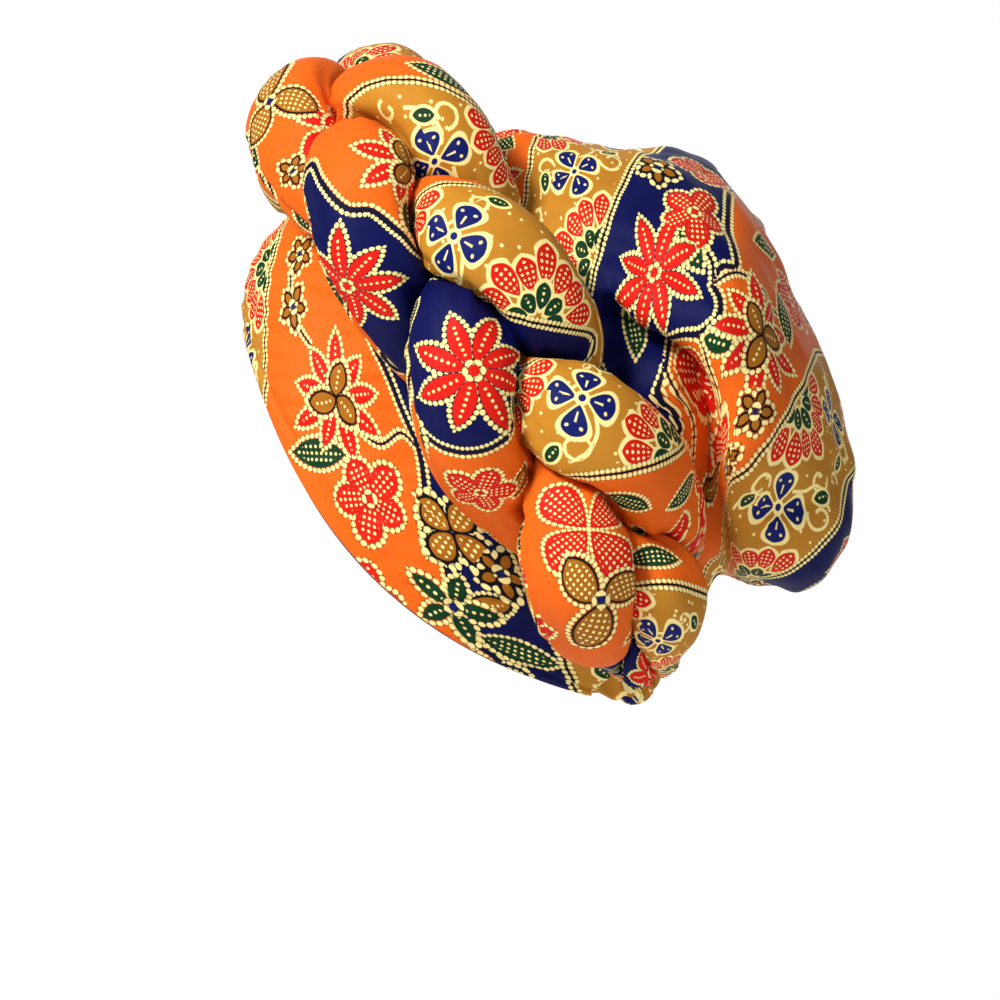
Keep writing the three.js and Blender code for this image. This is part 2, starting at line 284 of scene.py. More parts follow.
def arch(degrees):
    """The middle of the braid at an angle along its arch, with its directions outward and to the back."""
    angle = np.radians(degrees)
    cosine, sine = np.cos(angle), np.sin(angle)
    down = np.array([0, math.cos(ARCH_SLOPE), -math.sin(ARCH_SLOPE)])
    sideways = np.array([1.0, 0, 0])
    fuller = 1 + ARCH_FULLNESS * np.sin(2 * angle) ** 2
    middle = (
        ARCH_TOP
        + down * (ARCH_HALF_LENGTH * (1 - fuller * cosine))[:, None]
        + sideways * (ARCH_HALF_WIDTH * fuller * sine)[:, None]
    )
    outward = unit(
        down * (-cosine / ARCH_HALF_LENGTH)[:, None] + sideways * (sine / ARCH_HALF_WIDTH)[:, None]
    )
    plane = np.cross(sideways, down)
    along = unit(np.cross(plane, outward))
    roll = np.radians(-FRONT_ROLL * np.cos(angle / 2) ** 4)[:, None]
    outward = outward * np.cos(roll) + np.cross(along, outward) * np.sin(roll)
    back = np.cross(outward, along)
    bow = ARCH_BOW * np.maximum(0, np.sin(2 * np.abs(angle)))
    tuck = TUCK * smooth(TUCK_ANGLE, ARCH_END_ANGLE, np.abs(degrees))
    return middle + back * (bow - tuck)[:, None], outward, back


def strand_phase(strand, degrees):
    """How far through its sway a strand is, in radians, at an angle along the arch."""
    turn = (degrees - FIRST_LOBE_ANGLE - strand * LOBE_SPACING) / (3 * LOBE_SPACING)
    return LOBE_PHASE + TAU * turn


def strand_share(degrees):
    """Full size along the arch, and smaller where the strands are sewn in at the nape."""
    return END_SHARE + (1 - END_SHARE) * smooth(0, TAPER_ANGLE, ARCH_END_ANGLE - np.abs(degrees))


def rear_lobes_late(degrees):
    """How much later than evenly the lobes towards the bag come, in radians of a strand's phase."""
    place = np.abs(degrees) / LATE_STEP
    return np.radians(through(LOBES_LATE, place)) * np.sign(degrees)


def strand_middle(strand, degrees):
    """A strand's middle at an angle along the arch. It sways from side to side once for each two lifts."""
    middle, outward, back = arch(degrees)
    phase = strand_phase(strand, degrees)
    rear = 0.5 - 0.5 * np.cos(phase - LOBE_PHASE)
    phase = phase - rear_lobes_late(degrees) * rear
    held = strand_share(degrees)
    held = held * (1 - TOP_CLOSER * rear * bump(degrees, TOP_CLOSER_ANGLE))
    sway = (STRAND_SWAY * held * np.sin(phase))[:, None]
    lift = (STRAND_LIFT * held * np.sin(2 * phase))[:, None]
    return middle + back * sway + outward * lift


# The shortest and the longest of a set of random hills, as shares of their usual length
HILL_LENGTHS = (0.7, 1.6)


def waves(points, length, seed, count=14):
    """Soft random hills of about that length, from -1 to 1, at points of any number of axes."""
    chance = np.random.default_rng(seed)
    directions = unit(chance.normal(size=(count, points.shape[-1])))
    pitches = TAU / (length * chance.uniform(*HILL_LENGTHS, count))
    shifts = chance.uniform(0, TAU, count)
    hills = sum(
        np.sin(points @ direction * pitch + shift)
        for direction, pitch, shift in zip(directions, pitches, shifts)
    )
    return hills / math.sqrt(count)


def drifting(along, length, drift, drift_length):
    """Pleats of about that length, from -1 to 1, which lie closer in some places than in others."""
    return np.sin(along / length + drift * np.sin(along / drift_length))


def grid_normals(points, closed):
    """Outward normals of a grid of rows running round and columns running along."""
    if closed:
        around = np.roll(points, -1, axis=1) - np.roll(points, 1, axis=1)
    else:
        around = np.gradient(points, axis=1)
    return unit(np.cross(around, np.gradient(points, axis=0)) + TINY)


def grid_faces(rows, columns, closed, start=0, reverse=False):
    """The quads of a grid whose points are numbered row by row from start."""
    across = columns if closed else columns - 1
    row, column = np.meshgrid(np.arange(rows - 1), np.arange(across), indexing="ij")
    after = (column + 1) % columns
    quads = np.stack(
        [
            row * columns + column,
            row * columns + after,
            (row + 1) * columns + after,
            (row + 1) * columns + column,
        ],
        axis=-1,
    ).reshape(-1, 4)
    if reverse:
        quads = quads[:, ::-1]
    return quads + start


def even_rows(surface, low, high, count, fine=600):
    """Values from low to high that lie evenly along a surface's own length, in the mean over its width."""
    values = np.linspace(low, high, fine)
    points = surface(values)
    steps = np.linalg.norm(np.diff(points, axis=0), axis=-1).mean(axis=1)
    lengths = np.concatenate([[0], np.cumsum(steps)])
    return np.interp(np.linspace(0, lengths[-1], count), lengths, values)


# Meshes

Shell = namedtuple("Shell", "points faces outer rows columns")

# How far a wall's rounded edge stands out, as a share of the wall
EDGE_ROUNDING = 0.45


def shell(points, wall, closed, pole=None, normals=None):
    """A wall of cloth behind a grid of points, with a rounded edge, as one closed mesh."""
    rows, columns = points.shape[:2]
    if normals is None:
        normals = grid_normals(points, closed)
    inner = points - normals * wall
    count = rows * columns
    stack = [points.reshape(-1, 3), inner.reshape(-1, 3)]
    faces = [grid_faces(rows, columns, closed), grid_faces(rows, columns, closed, count, reverse=True)]
    outer = [np.ones(len(faces[0]), bool), np.zeros(len(faces[1]), bool)]
    if closed:
        loop = np.arange(columns)
    else:
        left = np.arange(0, count, columns)
        right = left + columns - 1
        top = np.arange(count - columns, count)
        loop = np.concatenate([np.arange(columns), right[1:], top[::-1][1:], left[::-1][1:-1]])
    middle = (stack[0][loop] + stack[1][loop]) / 2
    before = np.roll(stack[0][loop], 1, axis=0)
    after = np.roll(stack[0][loop], -1, axis=0)
    away = unit(np.cross(after - before, normals.reshape(-1, 3)[loop]) + TINY)
    start = 2 * count
    stack.append(middle + away * wall * EDGE_ROUNDING)
    edge = np.arange(len(loop))
    following = (edge + 1) % len(loop)
    faces.append(np.stack([loop[following], loop, start + edge, start + following], axis=-1))
    faces.append(np.stack([start + following, start + edge, loop + count, loop[following] + count], axis=-1))
    outer.append(np.ones(len(loop), bool))
    outer.append(np.zeros(len(loop), bool))
    if pole is not None:
        start = sum(len(part) for part in stack)
        inward = np.array([0, -wall, 0])
        stack.append(np.array([pole, pole + inward]))
        last = np.arange(count - columns, count)
        after = np.roll(last, -1)
        tip = np.full(columns, start)
        faces.append(np.stack([last, after, tip, tip], axis=-1))
        faces.append(np.stack([after + count, last + count, tip + 1, tip + 1], axis=-1))
        outer.append(np.ones(columns, bool))
        outer.append(np.zeros(columns, bool))
    return Shell(np.concatenate(stack), np.concatenate(faces), np.concatenate(outer), rows, columns)


def make_mesh(name, points, faces):
    """A smooth mesh object from points in millimetres.

    A face with its last two corners the same is a triangle.
    """
    polygons = [tuple(face[:3]) if face[2] == face[3] else tuple(face) for face in faces.tolist()]
    mesh = bpy.data.meshes.new(name)
    mesh.from_pydata((points * MM).tolist(), [], polygons)
    mesh.polygons.foreach_set("use_smooth", np.ones(len(mesh.polygons), bool))
    mesh.update()
    piece = bpy.data.objects.new(name, mesh)
    bpy.context.scene.collection.objects.link(piece)
    return piece


BAND_WALL = 2.4
CASING_WALL = 2.2
BAG_WALL = 2.0

# Soft random hills in loose cloth, in millimetres: their height, what the far side adds to it, their length,
# their seed, and how much closer they lie along each axis
Hills = namedtuple("Hills", "height far_height length seed closer")
BAND_SLACK = (
    Hills(1.1, 0, 46, 3, (1, 1, 1)),
    Hills(0.5, 0, 16, 4, (1, 1, 2.5)),
)
BAG_SLACK = (
    Hills(1.6, 1.6, 60, 11, (1, 1, 1)),
    Hills(0.7, 0, 22, 12, (1, 1.6, 1)),
    Hills(0, 2.2, 24, 13, (1, 0.45, 1.3)),
)

# The band's pleats under the braid, in millimetres and in shares of the band's height
PLEAT_HEIGHT = 1.7
PLEAT_LENGTH = 9.5
PLEAT_DRIFT = 1.7
PLEAT_DRIFT_LENGTH = 41
PLEAT_RISE = (0.45, 0.85)
PLEAT_SEAM = (0.9, 1)
PLEAT_SEAM_FADE = 0.85
PLEAT_FRONT_SHARE = 0.5

# The line where the band's hem is turned up, in millimetres over a usual height of the band, and the shares
# of the height over which the slack comes in from the hem and from the seam
BAND_HEIGHT = 90
HEM_LINE = 9
HEM_LINE_DEPTH = 1.3
HEM_LINE_WIDTH = 2.2
HEM_STILL = 0.2
SEAM_STILL = 0.25

# The casing's ruffles, with creases between them, and the waves that make them wander
CASING_TOP = 0.95
CASING_RUFFLES = 5
CASING_RUFFLE_DEPTH = 3
CASING_RUFFLE_SHARE = 0.9
CASING_CREASE_DEPTH = 0.9
CREASES_TO_A_RUFFLE = 2.3
CREASE_RISE = 0.2
Wander = namedtuple("Wander", "size upward around")
CASING_WANDER = (Wander(0.10, 7, 9), Wander(0.05, 19, 23))

# The bag's ends, the last stretch without slack, and the rounded rear, all counted in sections. The end and
# the rounded rear count from the last section. Then the number of rounding passes
BAG_START = 0.02
BAG_END = 0.97
POLE_FADE = 0.3
REAR_ROUNDED = (-1.2, -0.4)
REAR_ROUNDING = 30

# Where the bag's far side begins and where it is reached, to the wearer's left of the middle
FAR_SIDE = (20, -40)

# The gathers behind the bag's mouth
GATHER_HEIGHT = 1.6
GATHER_FAR_HEIGHT = 1.2
GATHER_RADIUS = 64
GATHER_LENGTH = 1.6
GATHER_DRIFT = 1.5
GATHER_DRIFTS = 5
GATHER_RISE = 0.3
GATHER_END = 4.2


def slack_height(points, table, far_side=0):
    """How far a piece's random hills lift its points."""
    return sum(
        (hills.height + hills.far_height * far_side) * waves(points * hills.closer, hills.length, hills.seed)
        for hills in table
    )


def band_grid(rows=118, columns=320):
    """The band's outer surface with its slack, its pleats and the line of its hem."""
    angles = np.linspace(-BAND_REACH, BAND_REACH, columns)

    def surface(heights):
        return band(*np.meshgrid(heights, angles, indexing="ij"))

    heights = even_rows(surface, 0, BAND_TOP, rows)
    points = surface(heights)
    normals = grid_normals(points, False)
    height, angle = np.meshgrid(heights, angles, indexing="ij")
    side = np.abs(np.sin(angle))
    slack = slack_height(points, BAND_SLACK)
    along = np.cumsum(np.linalg.norm(np.diff(points[-1], axis=0, prepend=points[-1][:1]), axis=-1))
    pleats = drifting(along, PLEAT_LENGTH, PLEAT_DRIFT, PLEAT_DRIFT_LENGTH)[None, :]
    gathers = PLEAT_HEIGHT * pleats * smooth(*PLEAT_RISE, height)
    gathers = gathers * (PLEAT_FRONT_SHARE + (1 - PLEAT_FRONT_SHARE) * side)
    gathers = gathers * (1 - PLEAT_SEAM_FADE * smooth(*PLEAT_SEAM, height))
    hem_roll = -HEM_LINE_DEPTH * bump(height * BAND_HEIGHT - HEM_LINE, HEM_LINE_WIDTH)
    lift = slack * smooth(0, HEM_STILL, height) * smooth(0, SEAM_STILL, 1 - height)
    lift = lift + gathers + hem_roll * (height > 0)
    return points + normals * lift[..., None]


def casing_outward(points):
    """Away from the middle of the hollow, with no sideways share, so that the ruffles stay apart."""
    outward = points - HOLLOW_CENTRE
    outward[..., 0] = 0
    return unit(outward)


def casing_grid(rows=60, columns=180):
    """The casing's outer surface with its ruffles."""
    half = CASING_HALF_ANGLE
    angles = np.linspace(math.pi - half, math.pi + half, columns)

    def surface(heights):
        return band(*np.meshgrid(heights, angles, indexing="ij"))

    heights = even_rows(surface, 0, CASING_TOP, rows)
    points = surface(heights)
    height, angle = np.meshgrid(heights, angles, indexing="ij")
    outward = casing_outward(points)
    from_middle = angle - math.pi
    wander = sum(row.size * np.sin(row.upward * height + row.around * from_middle) for row in CASING_WANDER)
    ruffle = CASING_RUFFLE_DEPTH * (np.cos(CASING_RUFFLES * math.pi * (from_middle + wander) / half) - 1)
    creases = np.sin(CASING_RUFFLES * TAU * CREASES_TO_A_RUFFLE * (from_middle + wander) / half)
    crease = CASING_CREASE_DEPTH * creases * smooth(0, CREASE_RISE, height)
    lift = (ruffle * CASING_RUFFLE_SHARE + crease) * (1 - height / 2)
    return points + outward * lift[..., None]


def bag_grid(rows=150, columns=330):
    """The bag's outer surface with its folds, its slack and the gathers behind its mouth."""
    angles = np.linspace(0, TAU, columns, endpoint=False) + math.pi
    last = len(BAG_SECTIONS) - 1

    def surface(places):
        return bag_form(*np.meshgrid(places, angles, indexing="ij"))[0]

    places = even_rows(surface, BAG_START, last + BAG_END, rows)
    place, angle = np.meshgrid(places, angles, indexing="ij")
    points = bag(place, angle)
    rounded = points.copy()
    for _ in range(REAR_ROUNDING):
        rounded[1:-1] = (rounded[:-2] + 2 * rounded[1:-1] + rounded[2:]) / 4
    start, end = REAR_ROUNDED
    points = points + (rounded - points) * smooth(last + start, last + end, place)[..., None]
    normals = grid_normals(points, True)
    around = GATHER_RADIUS * angle
    far_side = smooth(*FAR_SIDE, points[..., 0])
    slack = slack_height(points, BAG_SLACK, far_side)
    pleats = np.sin(around / GATHER_LENGTH + GATHER_DRIFT * np.sin(angle * GATHER_DRIFTS))
    gathers = (GATHER_HEIGHT + GATHER_FAR_HEIGHT * far_side) * pleats
    gathers = gathers * (1 - smooth(GATHER_RISE, GATHER_END, place)) * smooth(0, GATHER_RISE, place)
    lift = (slack * smooth(0, MOUTH_FADE, place) + gathers) * smooth(0, POLE_FADE, last + 1 - place)
    return points + normals * lift[..., None]


# The rows of the band and the casing that the bag's mouth stands in for under the braid
ROWS_LEFT_OUT = 4


def skin_tree():
    """The band, the casing and the bag as one surface, for the braid to lie on."""
    parts = [
        (band_grid()[:-ROWS_LEFT_OUT], False),
        (casing_grid()[:-ROWS_LEFT_OUT], False),
        (bag_grid(), True),
    ]
    points, faces, start = [], [], 0
    for grid, closed in parts:
        points.append(grid.reshape(-1, 3))
        faces.append(grid_faces(grid.shape[0], grid.shape[1], closed, start))
        start += grid.shape[0] * grid.shape[1]
    return BVHTree.FromPolygons(np.concatenate(points).tolist(), np.concatenate(faces).tolist())


STRAND_ROWS = 430
STRAND_SIDES = 92
STRAND_GAP = 0.5
SKIN_GAP = 0.7
ARCH_SAMPLES = 481
NEIGHBOUR_MARGIN = 6
LEAST_FACING = 1e-6
NEVER_MET = 1e9

# How a strand is stuffed: the passes that carry a pinch and its creases to the cloth beside it, how full it
# may be, the room its cloth keeps where it is pinched, and the least reach from its middle
PINCH_PASSES = 26
CREASE_PASSES = 30
FULLEST = 1.02
ROOM_SHARE = 0.25
PINCHED_ROOM = 0.55
CLOTH_SINK = 0.25
LEAST_REACH = 2
STRAND_CREASES = Hills(1.9, 0, 9, 40, (0.30, 1, 1))
STRAND_PUFFS = Hills(1.0, 0, 26, 41, (1, 1, 1))
STRAND_WRINKLES = Hills(0.45, 0, 5.5, 42, (0.55, 1, 1))
STRAND_SEED_STEP = 7
WRINKLES_EVERYWHERE = 0.3

# A strand's seam: a groove between two ridges, which wanders along the strand and puckers
SEAM_TURN = math.radians(168)
SEAM_WANDER = 0.10
SEAM_WANDER_LENGTH = 60
GROOVE_DEPTH = 1.5
GROOVE_WIDTH = 1.5
RIDGE_HEIGHT = 0.8
RIDGE_OFFSET = 3.4
RIDGE_WIDTH = 2.0
PUCKER_HEIGHT = 0.35
PUCKER_LENGTH = 1.7
PUCKER_DRIFT = 2
PUCKER_DRIFT_LENGTH = 13
PUCKER_WIDTH = 5

# A strand's domed ends: the rows that give an end its direction, and the dome's last ring and tip
DOME_ROWS = 3
DOME_RING = 0.6
DOME_RING_RISE = 3
DOME_RISE = 4.5

Strand = namedtuple("Strand", "middle back top directions degrees phase reach free")


def ring_turns(sides=STRAND_SIDES):
    """The angles round a strand, from its seam once round."""
    return SEAM_TURN - TAU + np.linspace(0, TAU, sides, endpoint=sides > STRAND_SIDES)


def strand_form(strand, tree):
    """How far one strand reaches each way from its middle, all the way along the arch."""
    degrees = np.linspace(-ARCH_END_ANGLE, ARCH_END_ANGLE, STRAND_ROWS)
    middle = strand_middle(strand, degrees)
    ahead = unit(strand_middle(strand, degrees + 1) - strand_middle(strand, degrees - 1))
    _, outward, _ = arch(degrees)
    back = unit(np.cross(outward, ahead))
    top = np.cross(ahead, back)
    turn = ring_turns()[:, None]
    directions = back[:, None] * np.cos(turn) + top[:, None] * np.sin(turn)
    phase = strand_phase(strand, degrees)
    swell = 1 + LOBE_SWELL * np.cos(2 * (phase - LOBE_PHASE))
    radius = STRAND_RADIUS * swell * strand_share(degrees)
    fine = np.linspace(-ARCH_END_ANGLE, ARCH_END_ANGLE, ARCH_SAMPLES)
    others = np.concatenate([strand_middle(other, fine) for other in range(3) if other != strand])
    free = np.repeat(radius[:, None], STRAND_SIDES, axis=1)
    reach = free.copy()
    for row in range(STRAND_ROWS):
        across = others - middle[row]
        square = (across**2).sum(-1)
        near = square < (2 * STRAND_RADIUS + NEIGHBOUR_MARGIN) ** 2
        facing = directions[row] @ across[near].T + STRAND_GAP
        meeting = (square[near] - STRAND_GAP**2) / (2 * np.maximum(facing, LEAST_FACING))
        meeting[facing <= 0] = NEVER_MET
        if near.any():
            reach[row] = np.minimum(reach[row], meeting.min(axis=1))
        start = Vector(middle[row])
        for side in range(STRAND_SIDES):
            hit = tree.ray_cast(start, Vector(directions[row, side]), reach[row, side] + SKIN_GAP)
            if hit[0] is not None:
                reach[row, side] = min(reach[row, side], hit[3] - SKIN_GAP)
    return Strand(middle, back, top, directions, degrees, phase, reach, free)


def softened(table, passes):
    """A table of reaches with its values spread to their neighbours, along and round."""
    for _ in range(passes):
        ends = np.concatenate([table[:1], table, table[-1:]])
        table = (
            2 * table + ends[:-2] + ends[2:] + np.roll(table, 1, axis=1) + np.roll(table, -1, axis=1)
        ) / 6
    return table


def strand_hills(hills, cloth, strand):
    """One set of random hills on a strand's cloth."""
    seed = hills.seed + STRAND_SEED_STEP * strand
    return hills.height * waves(cloth * hills.closer, hills.length, seed)


def strand_points(strand, form):
    """The strand's surface, stuffed full and creased where it is pinched."""
    reach = form.reach.copy()
    for _ in range(PINCH_PASSES):
        reach = np.minimum(reach, softened(reach, 1))
    pinch = softened(1 - reach / form.free, CREASE_PASSES)
    rim = np.clip(pinch * (1 - pinch) * 4, 0, 1)
    turn = ring_turns()[None, :]
    along = np.cumsum(np.linalg.norm(np.diff(form.middle, axis=0, prepend=form.middle[:1]), axis=-1))[:, None]
    across, up = STRAND_RADIUS * np.cos(turn), STRAND_RADIUS * np.sin(turn)
    cloth = np.stack(np.broadcast_arrays(along, across, up), axis=-1)
    creases = strand_hills(STRAND_CREASES, cloth, strand)
    puffs = strand_hills(STRAND_PUFFS, cloth, strand)
    wrinkles = strand_hills(STRAND_WRINKLES, cloth, strand)
    held = strand_share(form.degrees)[:, None]
    lift = creases * rim + puffs * held + wrinkles * (WRINKLES_EVERYWHERE + rim)
    seam_turn = SEAM_TURN + SEAM_WANDER * np.sin(along / SEAM_WANDER_LENGTH)
    off_seam = ((turn - seam_turn + math.pi) % TAU - math.pi) * STRAND_RADIUS
    pucker = PUCKER_HEIGHT * drifting(along, PUCKER_LENGTH, PUCKER_DRIFT, PUCKER_DRIFT_LENGTH)
    pucker = pucker * bump(off_seam, PUCKER_WIDTH)
    groove = GROOVE_DEPTH * bump(off_seam, GROOVE_WIDTH)
    ridge = RIDGE_HEIGHT * bump(np.abs(off_seam) - RIDGE_OFFSET, RIDGE_WIDTH)
    lift = lift - groove + ridge + pucker
    room = np.minimum(lift, np.maximum(form.free * FULLEST - reach, 0) * ROOM_SHARE + PINCHED_ROOM)
    reach = np.maximum(reach + room - CLOTH_SINK, LEAST_REACH)
    return form.middle[:, None] + form.directions * reach[..., None]


def strand_shell(points):
    """A closed tube with domed ends from the rings of a strand."""
    rows, columns = points.shape[:2]
    faces = [grid_faces(rows, columns, True)]
    stack = [points.reshape(-1, 3)]
    for end, inside, flip in ((0, DOME_ROWS, True), (rows - 1, rows - 1 - DOME_ROWS, False)):
        middle = points[end].mean(axis=0)
        away = unit(middle - points[inside].mean(axis=0))
        ring = middle + (points[end] - middle) * DOME_RING + away * DOME_RING_RISE
        start = sum(len(part) for part in stack)
        stack.append(ring)
        stack.append((middle + away * DOME_RISE)[None])
        loop = np.arange(columns)
        after = (loop + 1) % columns
        edge = end * columns
        tip = np.full(columns, start + columns)
        side = np.stack([edge + loop, edge + after, start + after, start + loop], axis=-1)
        cap = np.stack([start + loop, start + after, tip, tip], axis=-1)
        if flip:
            side = side[:, [1, 0, 3, 2]]
            cap = cap[:, [1, 0, 2, 3]]
        faces += [side, cap]
    faces = np.concatenate(faces)
    return Shell(np.concatenate(stack), faces, np.ones(len(faces), bool), rows, columns)


# Cloth coordinates

UNWRAP_STEP = 5


def spread_flat(points, closed):
    """Flat coordinates, in millimetres, of a grid of cloth with as little stretch as can be.

    A closed grid is cut open along its first column, which then comes back as an extra last one.
    """
    if closed:
        points = np.concatenate([points, points[:, :1]], axis=1)
    rows, columns = points.shape[:2]
    row_picks = np.unique(np.append(np.arange(0, rows, UNWRAP_STEP), rows - 1))
    column_picks = np.unique(np.append(np.arange(0, columns, UNWRAP_STEP), columns - 1))
    coarse = points[row_picks][:, column_picks]
    shape = coarse.shape[:2]
    faces = grid_faces(shape[0], shape[1], False)
    pattern = make_mesh("cloth_pattern", coarse.reshape(-1, 3), faces)
    mesh = pattern.data
    mesh.uv_layers.new(name="flat")
    bpy.context.view_layer.objects.active = pattern
    pattern.select_set(True)
    bpy.ops.object.mode_set(mode="EDIT")
    bpy.ops.mesh.select_all(action="SELECT")
    bpy.ops.uv.unwrap(method="MINIMUM_STRETCH", fill_holes=False, margin=0.0)
    bpy.ops.object.mode_set(mode="OBJECT")
    flat = np.zeros(len(mesh.loops) * 2)
    mesh.uv_layers["flat"].data.foreach_get("uv", flat)
    flat = flat.reshape(-1, 4, 2)
    corners = np.zeros((shape[0] * shape[1], 2))
    corners[faces.ravel()] = flat.reshape(-1, 2)
    bpy.data.objects.remove(pattern)
    bpy.data.meshes.remove(mesh)
    quads = coarse.reshape(-1, 3)[faces]
    crossed = np.cross(quads[:, 2] - quads[:, 0], quads[:, 3] - quads[:, 1])
    solid_area = np.linalg.norm(crossed, axis=-1).sum() / 2
    across, up = flat[:, 2] - flat[:, 0], flat[:, 3] - flat[:, 1]
    flat_area = (across[:, 0] * up[:, 1] - across[:, 1] * up[:, 0]).sum() / 2
    corners *= math.sqrt(solid_area / abs(flat_area))
    if flat_area < 0:
        corners[:, 0] *= -1
    table = corners.reshape(shape + (2,))
    row_places = np.interp(np.arange(rows), row_picks, np.arange(len(row_picks)))
    column_places = np.interp(np.arange(columns), column_picks, np.arange(len(column_picks)))
    along = resample(table, row_places)
    return resample(along.transpose(1, 0, 2), column_places).transpose(1, 0, 2)


def resample(table, places):
    """Rows of a table at places that may be fractions, smoothly."""
    row = np.clip(np.floor(places).astype(int), 0, len(table) - 2)
    share = (places - row)[:, None, None]
    last = len(table) - 1
    before, here, after, beyond = (table[np.clip(row + step, 0, last)] for step in (-1, 0, 1, 2))
    before = np.where((row == 0)[:, None, None], 2 * here - after, before)
    beyond = np.where((row + 1 == last)[:, None, None], 2 * after - here, beyond)
    return cubic(before, here, after, beyond, share)


# The print

REPEAT_ACROSS = 185
REPEAT_ALONG = 408
STRIP_WIDTH = 60
STRIP_REPEAT = 142.5


def paint(red, green, blue):
    """A colour from its values on a screen, 0 to 255, as the linear ones that shaders use."""
    shares = np.array([red, green, blue]) / 255
    return tuple(np.where(shares <= 0.04045, shares / 12.92, ((shares + 0.055) / 1.055) ** 2.4).tolist())


ORANGE = paint(230, 101, 24)
OCHRE = paint(190, 129, 41)
NAVY = paint(9, 15, 76)
RED = paint(216, 28, 20)
CREAM = paint(255, 236, 158)
GREEN = paint(14, 58, 34)
BLACK = paint(12, 10, 12)
BROWN = paint(166, 102, 26)
BLUE = paint(15, 26, 100)

BEADS, SOLID, OUTLINED = 1, 2, 3
ROW, GRID, KEYHOLE = 1, 2, 3
LEAVES, FLOWERS, CENTRES = 0, 1, 2

# A ring of petals, or one leaf where petals is 1: offset is from the middle to a petal's middle, taper
# makes the petal wider outward, and swirl bends it
Part = namedtuple("Part", "layer petals offset half_length half_width taper swirl edge dots fill")


def part(layer, petals, offset, half_length, half_width, fill, edge=BEADS, dots=0, taper=0, swirl=0):
    """One part of a motif, with the usual beaded edge unless another is given."""
    return Part(layer, petals, offset, half_length, half_width, taper, swirl, edge, dots, fill)


MOTIFS = {
    "rosette": (
        part(FLOWERS, 8, 12.8, 10.6, 3.7, RED, dots=ROW, swirl=0.006),
        part(CENTRES, 1, 0, 2.0, 2.0, RED),
    ),
    "crowned_rosette": (
        part(FLOWERS, 9, 14.4, 8.8, 3.2, RED, dots=ROW),
        part(CENTRES, 3, 7.4, 7.0, 4.4, BROWN, edge=OUTLINED, dots=ROW, swirl=0.02),
    ),
    "dotted_flower": (
        part(FLOWERS, 5, 8.7, 7.6, 5.6, RED, dots=GRID, taper=0.2),
        part(CENTRES, 1, 0, 1.5, 1.5, RED),
    ),
    "big_dotted_flower": (part(LEAVES, 4, 13, 11.5, 8.2, RED, dots=GRID, taper=0.5),),
    "small_flower": (
        part(FLOWERS, 5, 4.6, 3.0, 1.9, BROWN, edge=OUTLINED),
        part(CENTRES, 1, 0, 1.0, 1.0, BLUE),
    ),
    "ochre_trefoil": (
        part(FLOWERS, 3, 12.0, 10.5, 6.6, BROWN, edge=OUTLINED, dots=GRID, swirl=0.02),
        part(CENTRES, 1, 0, 1.5, 1.5, BLUE),
    ),
    "bell": (
        part(FLOWERS, 4, 7.0, 6.2, 4.8, BROWN, edge=OUTLINED, dots=GRID, taper=0.3),
    ),
    "star": (
        part(FLOWERS, 5, 7.5, 6.4, 2.9, GREEN, dots=ROW),
        part(CENTRES, 1, 0, 1.4, 1.4, BLUE),
    ),
    "leaf": (part(LEAVES, 1, 0, 13, 5.2, GREEN, dots=GRID),),
    "small_leaf": (part(LEAVES, 1, 0, 7.5, 3.6, GREEN, dots=ROW),),
    "red_petal": (part(LEAVES, 1, 0, 8.5, 3.9, RED, dots=ROW),),
    "ochre_leaf": (part(LEAVES, 1, 0, 9, 4.2, BROWN, edge=OUTLINED, dots=ROW),),
    "fan": (
        part(FLOWERS, 14, 20.0, 7.6, 4.5, RED, edge=SOLID, dots=GRID, taper=0.45),
        part(CENTRES, 8, 8.8, 5.0, 3.4, GREEN, edge=SOLID, dots=ROW, taper=0.2),
    ),
    "blue_flower": (
        part(FLOWERS, 4, 7.9, 5.4, 4.5, BLUE, edge=SOLID, dots=KEYHOLE, taper=0.6),
        part(CENTRES, 1, 0, 1.4, 1.4, BLUE, edge=SOLID),
    ),
    "strip_leaf": (part(LEAVES, 1, 0, 5.0, 3.1, GREEN, edge=SOLID, dots=ROW),),
}

Motif = namedtuple("Motif", "kind across along turn size")

# The ochre strip between its borders at 0 and 60, repeated each 142.5 mm
STRIP = (
    Motif("fan", 1.5, 0, 0, 1.0),
    Motif("blue_flower", 31, -36, 40, 1.1),
    Motif("fan", 58.5, -71, 180, 1.0),
    Motif("blue_flower", 29, 35, 55, 1.1),
    Motif("strip_leaf", 45, -14, 60, 1.0),
    Motif("strip_leaf", 14, -46, 100, 0.9),
    Motif("strip_leaf", 47, 15, 120, 1.0),
    Motif("strip_leaf", 13, 53, 60, 0.9),
)

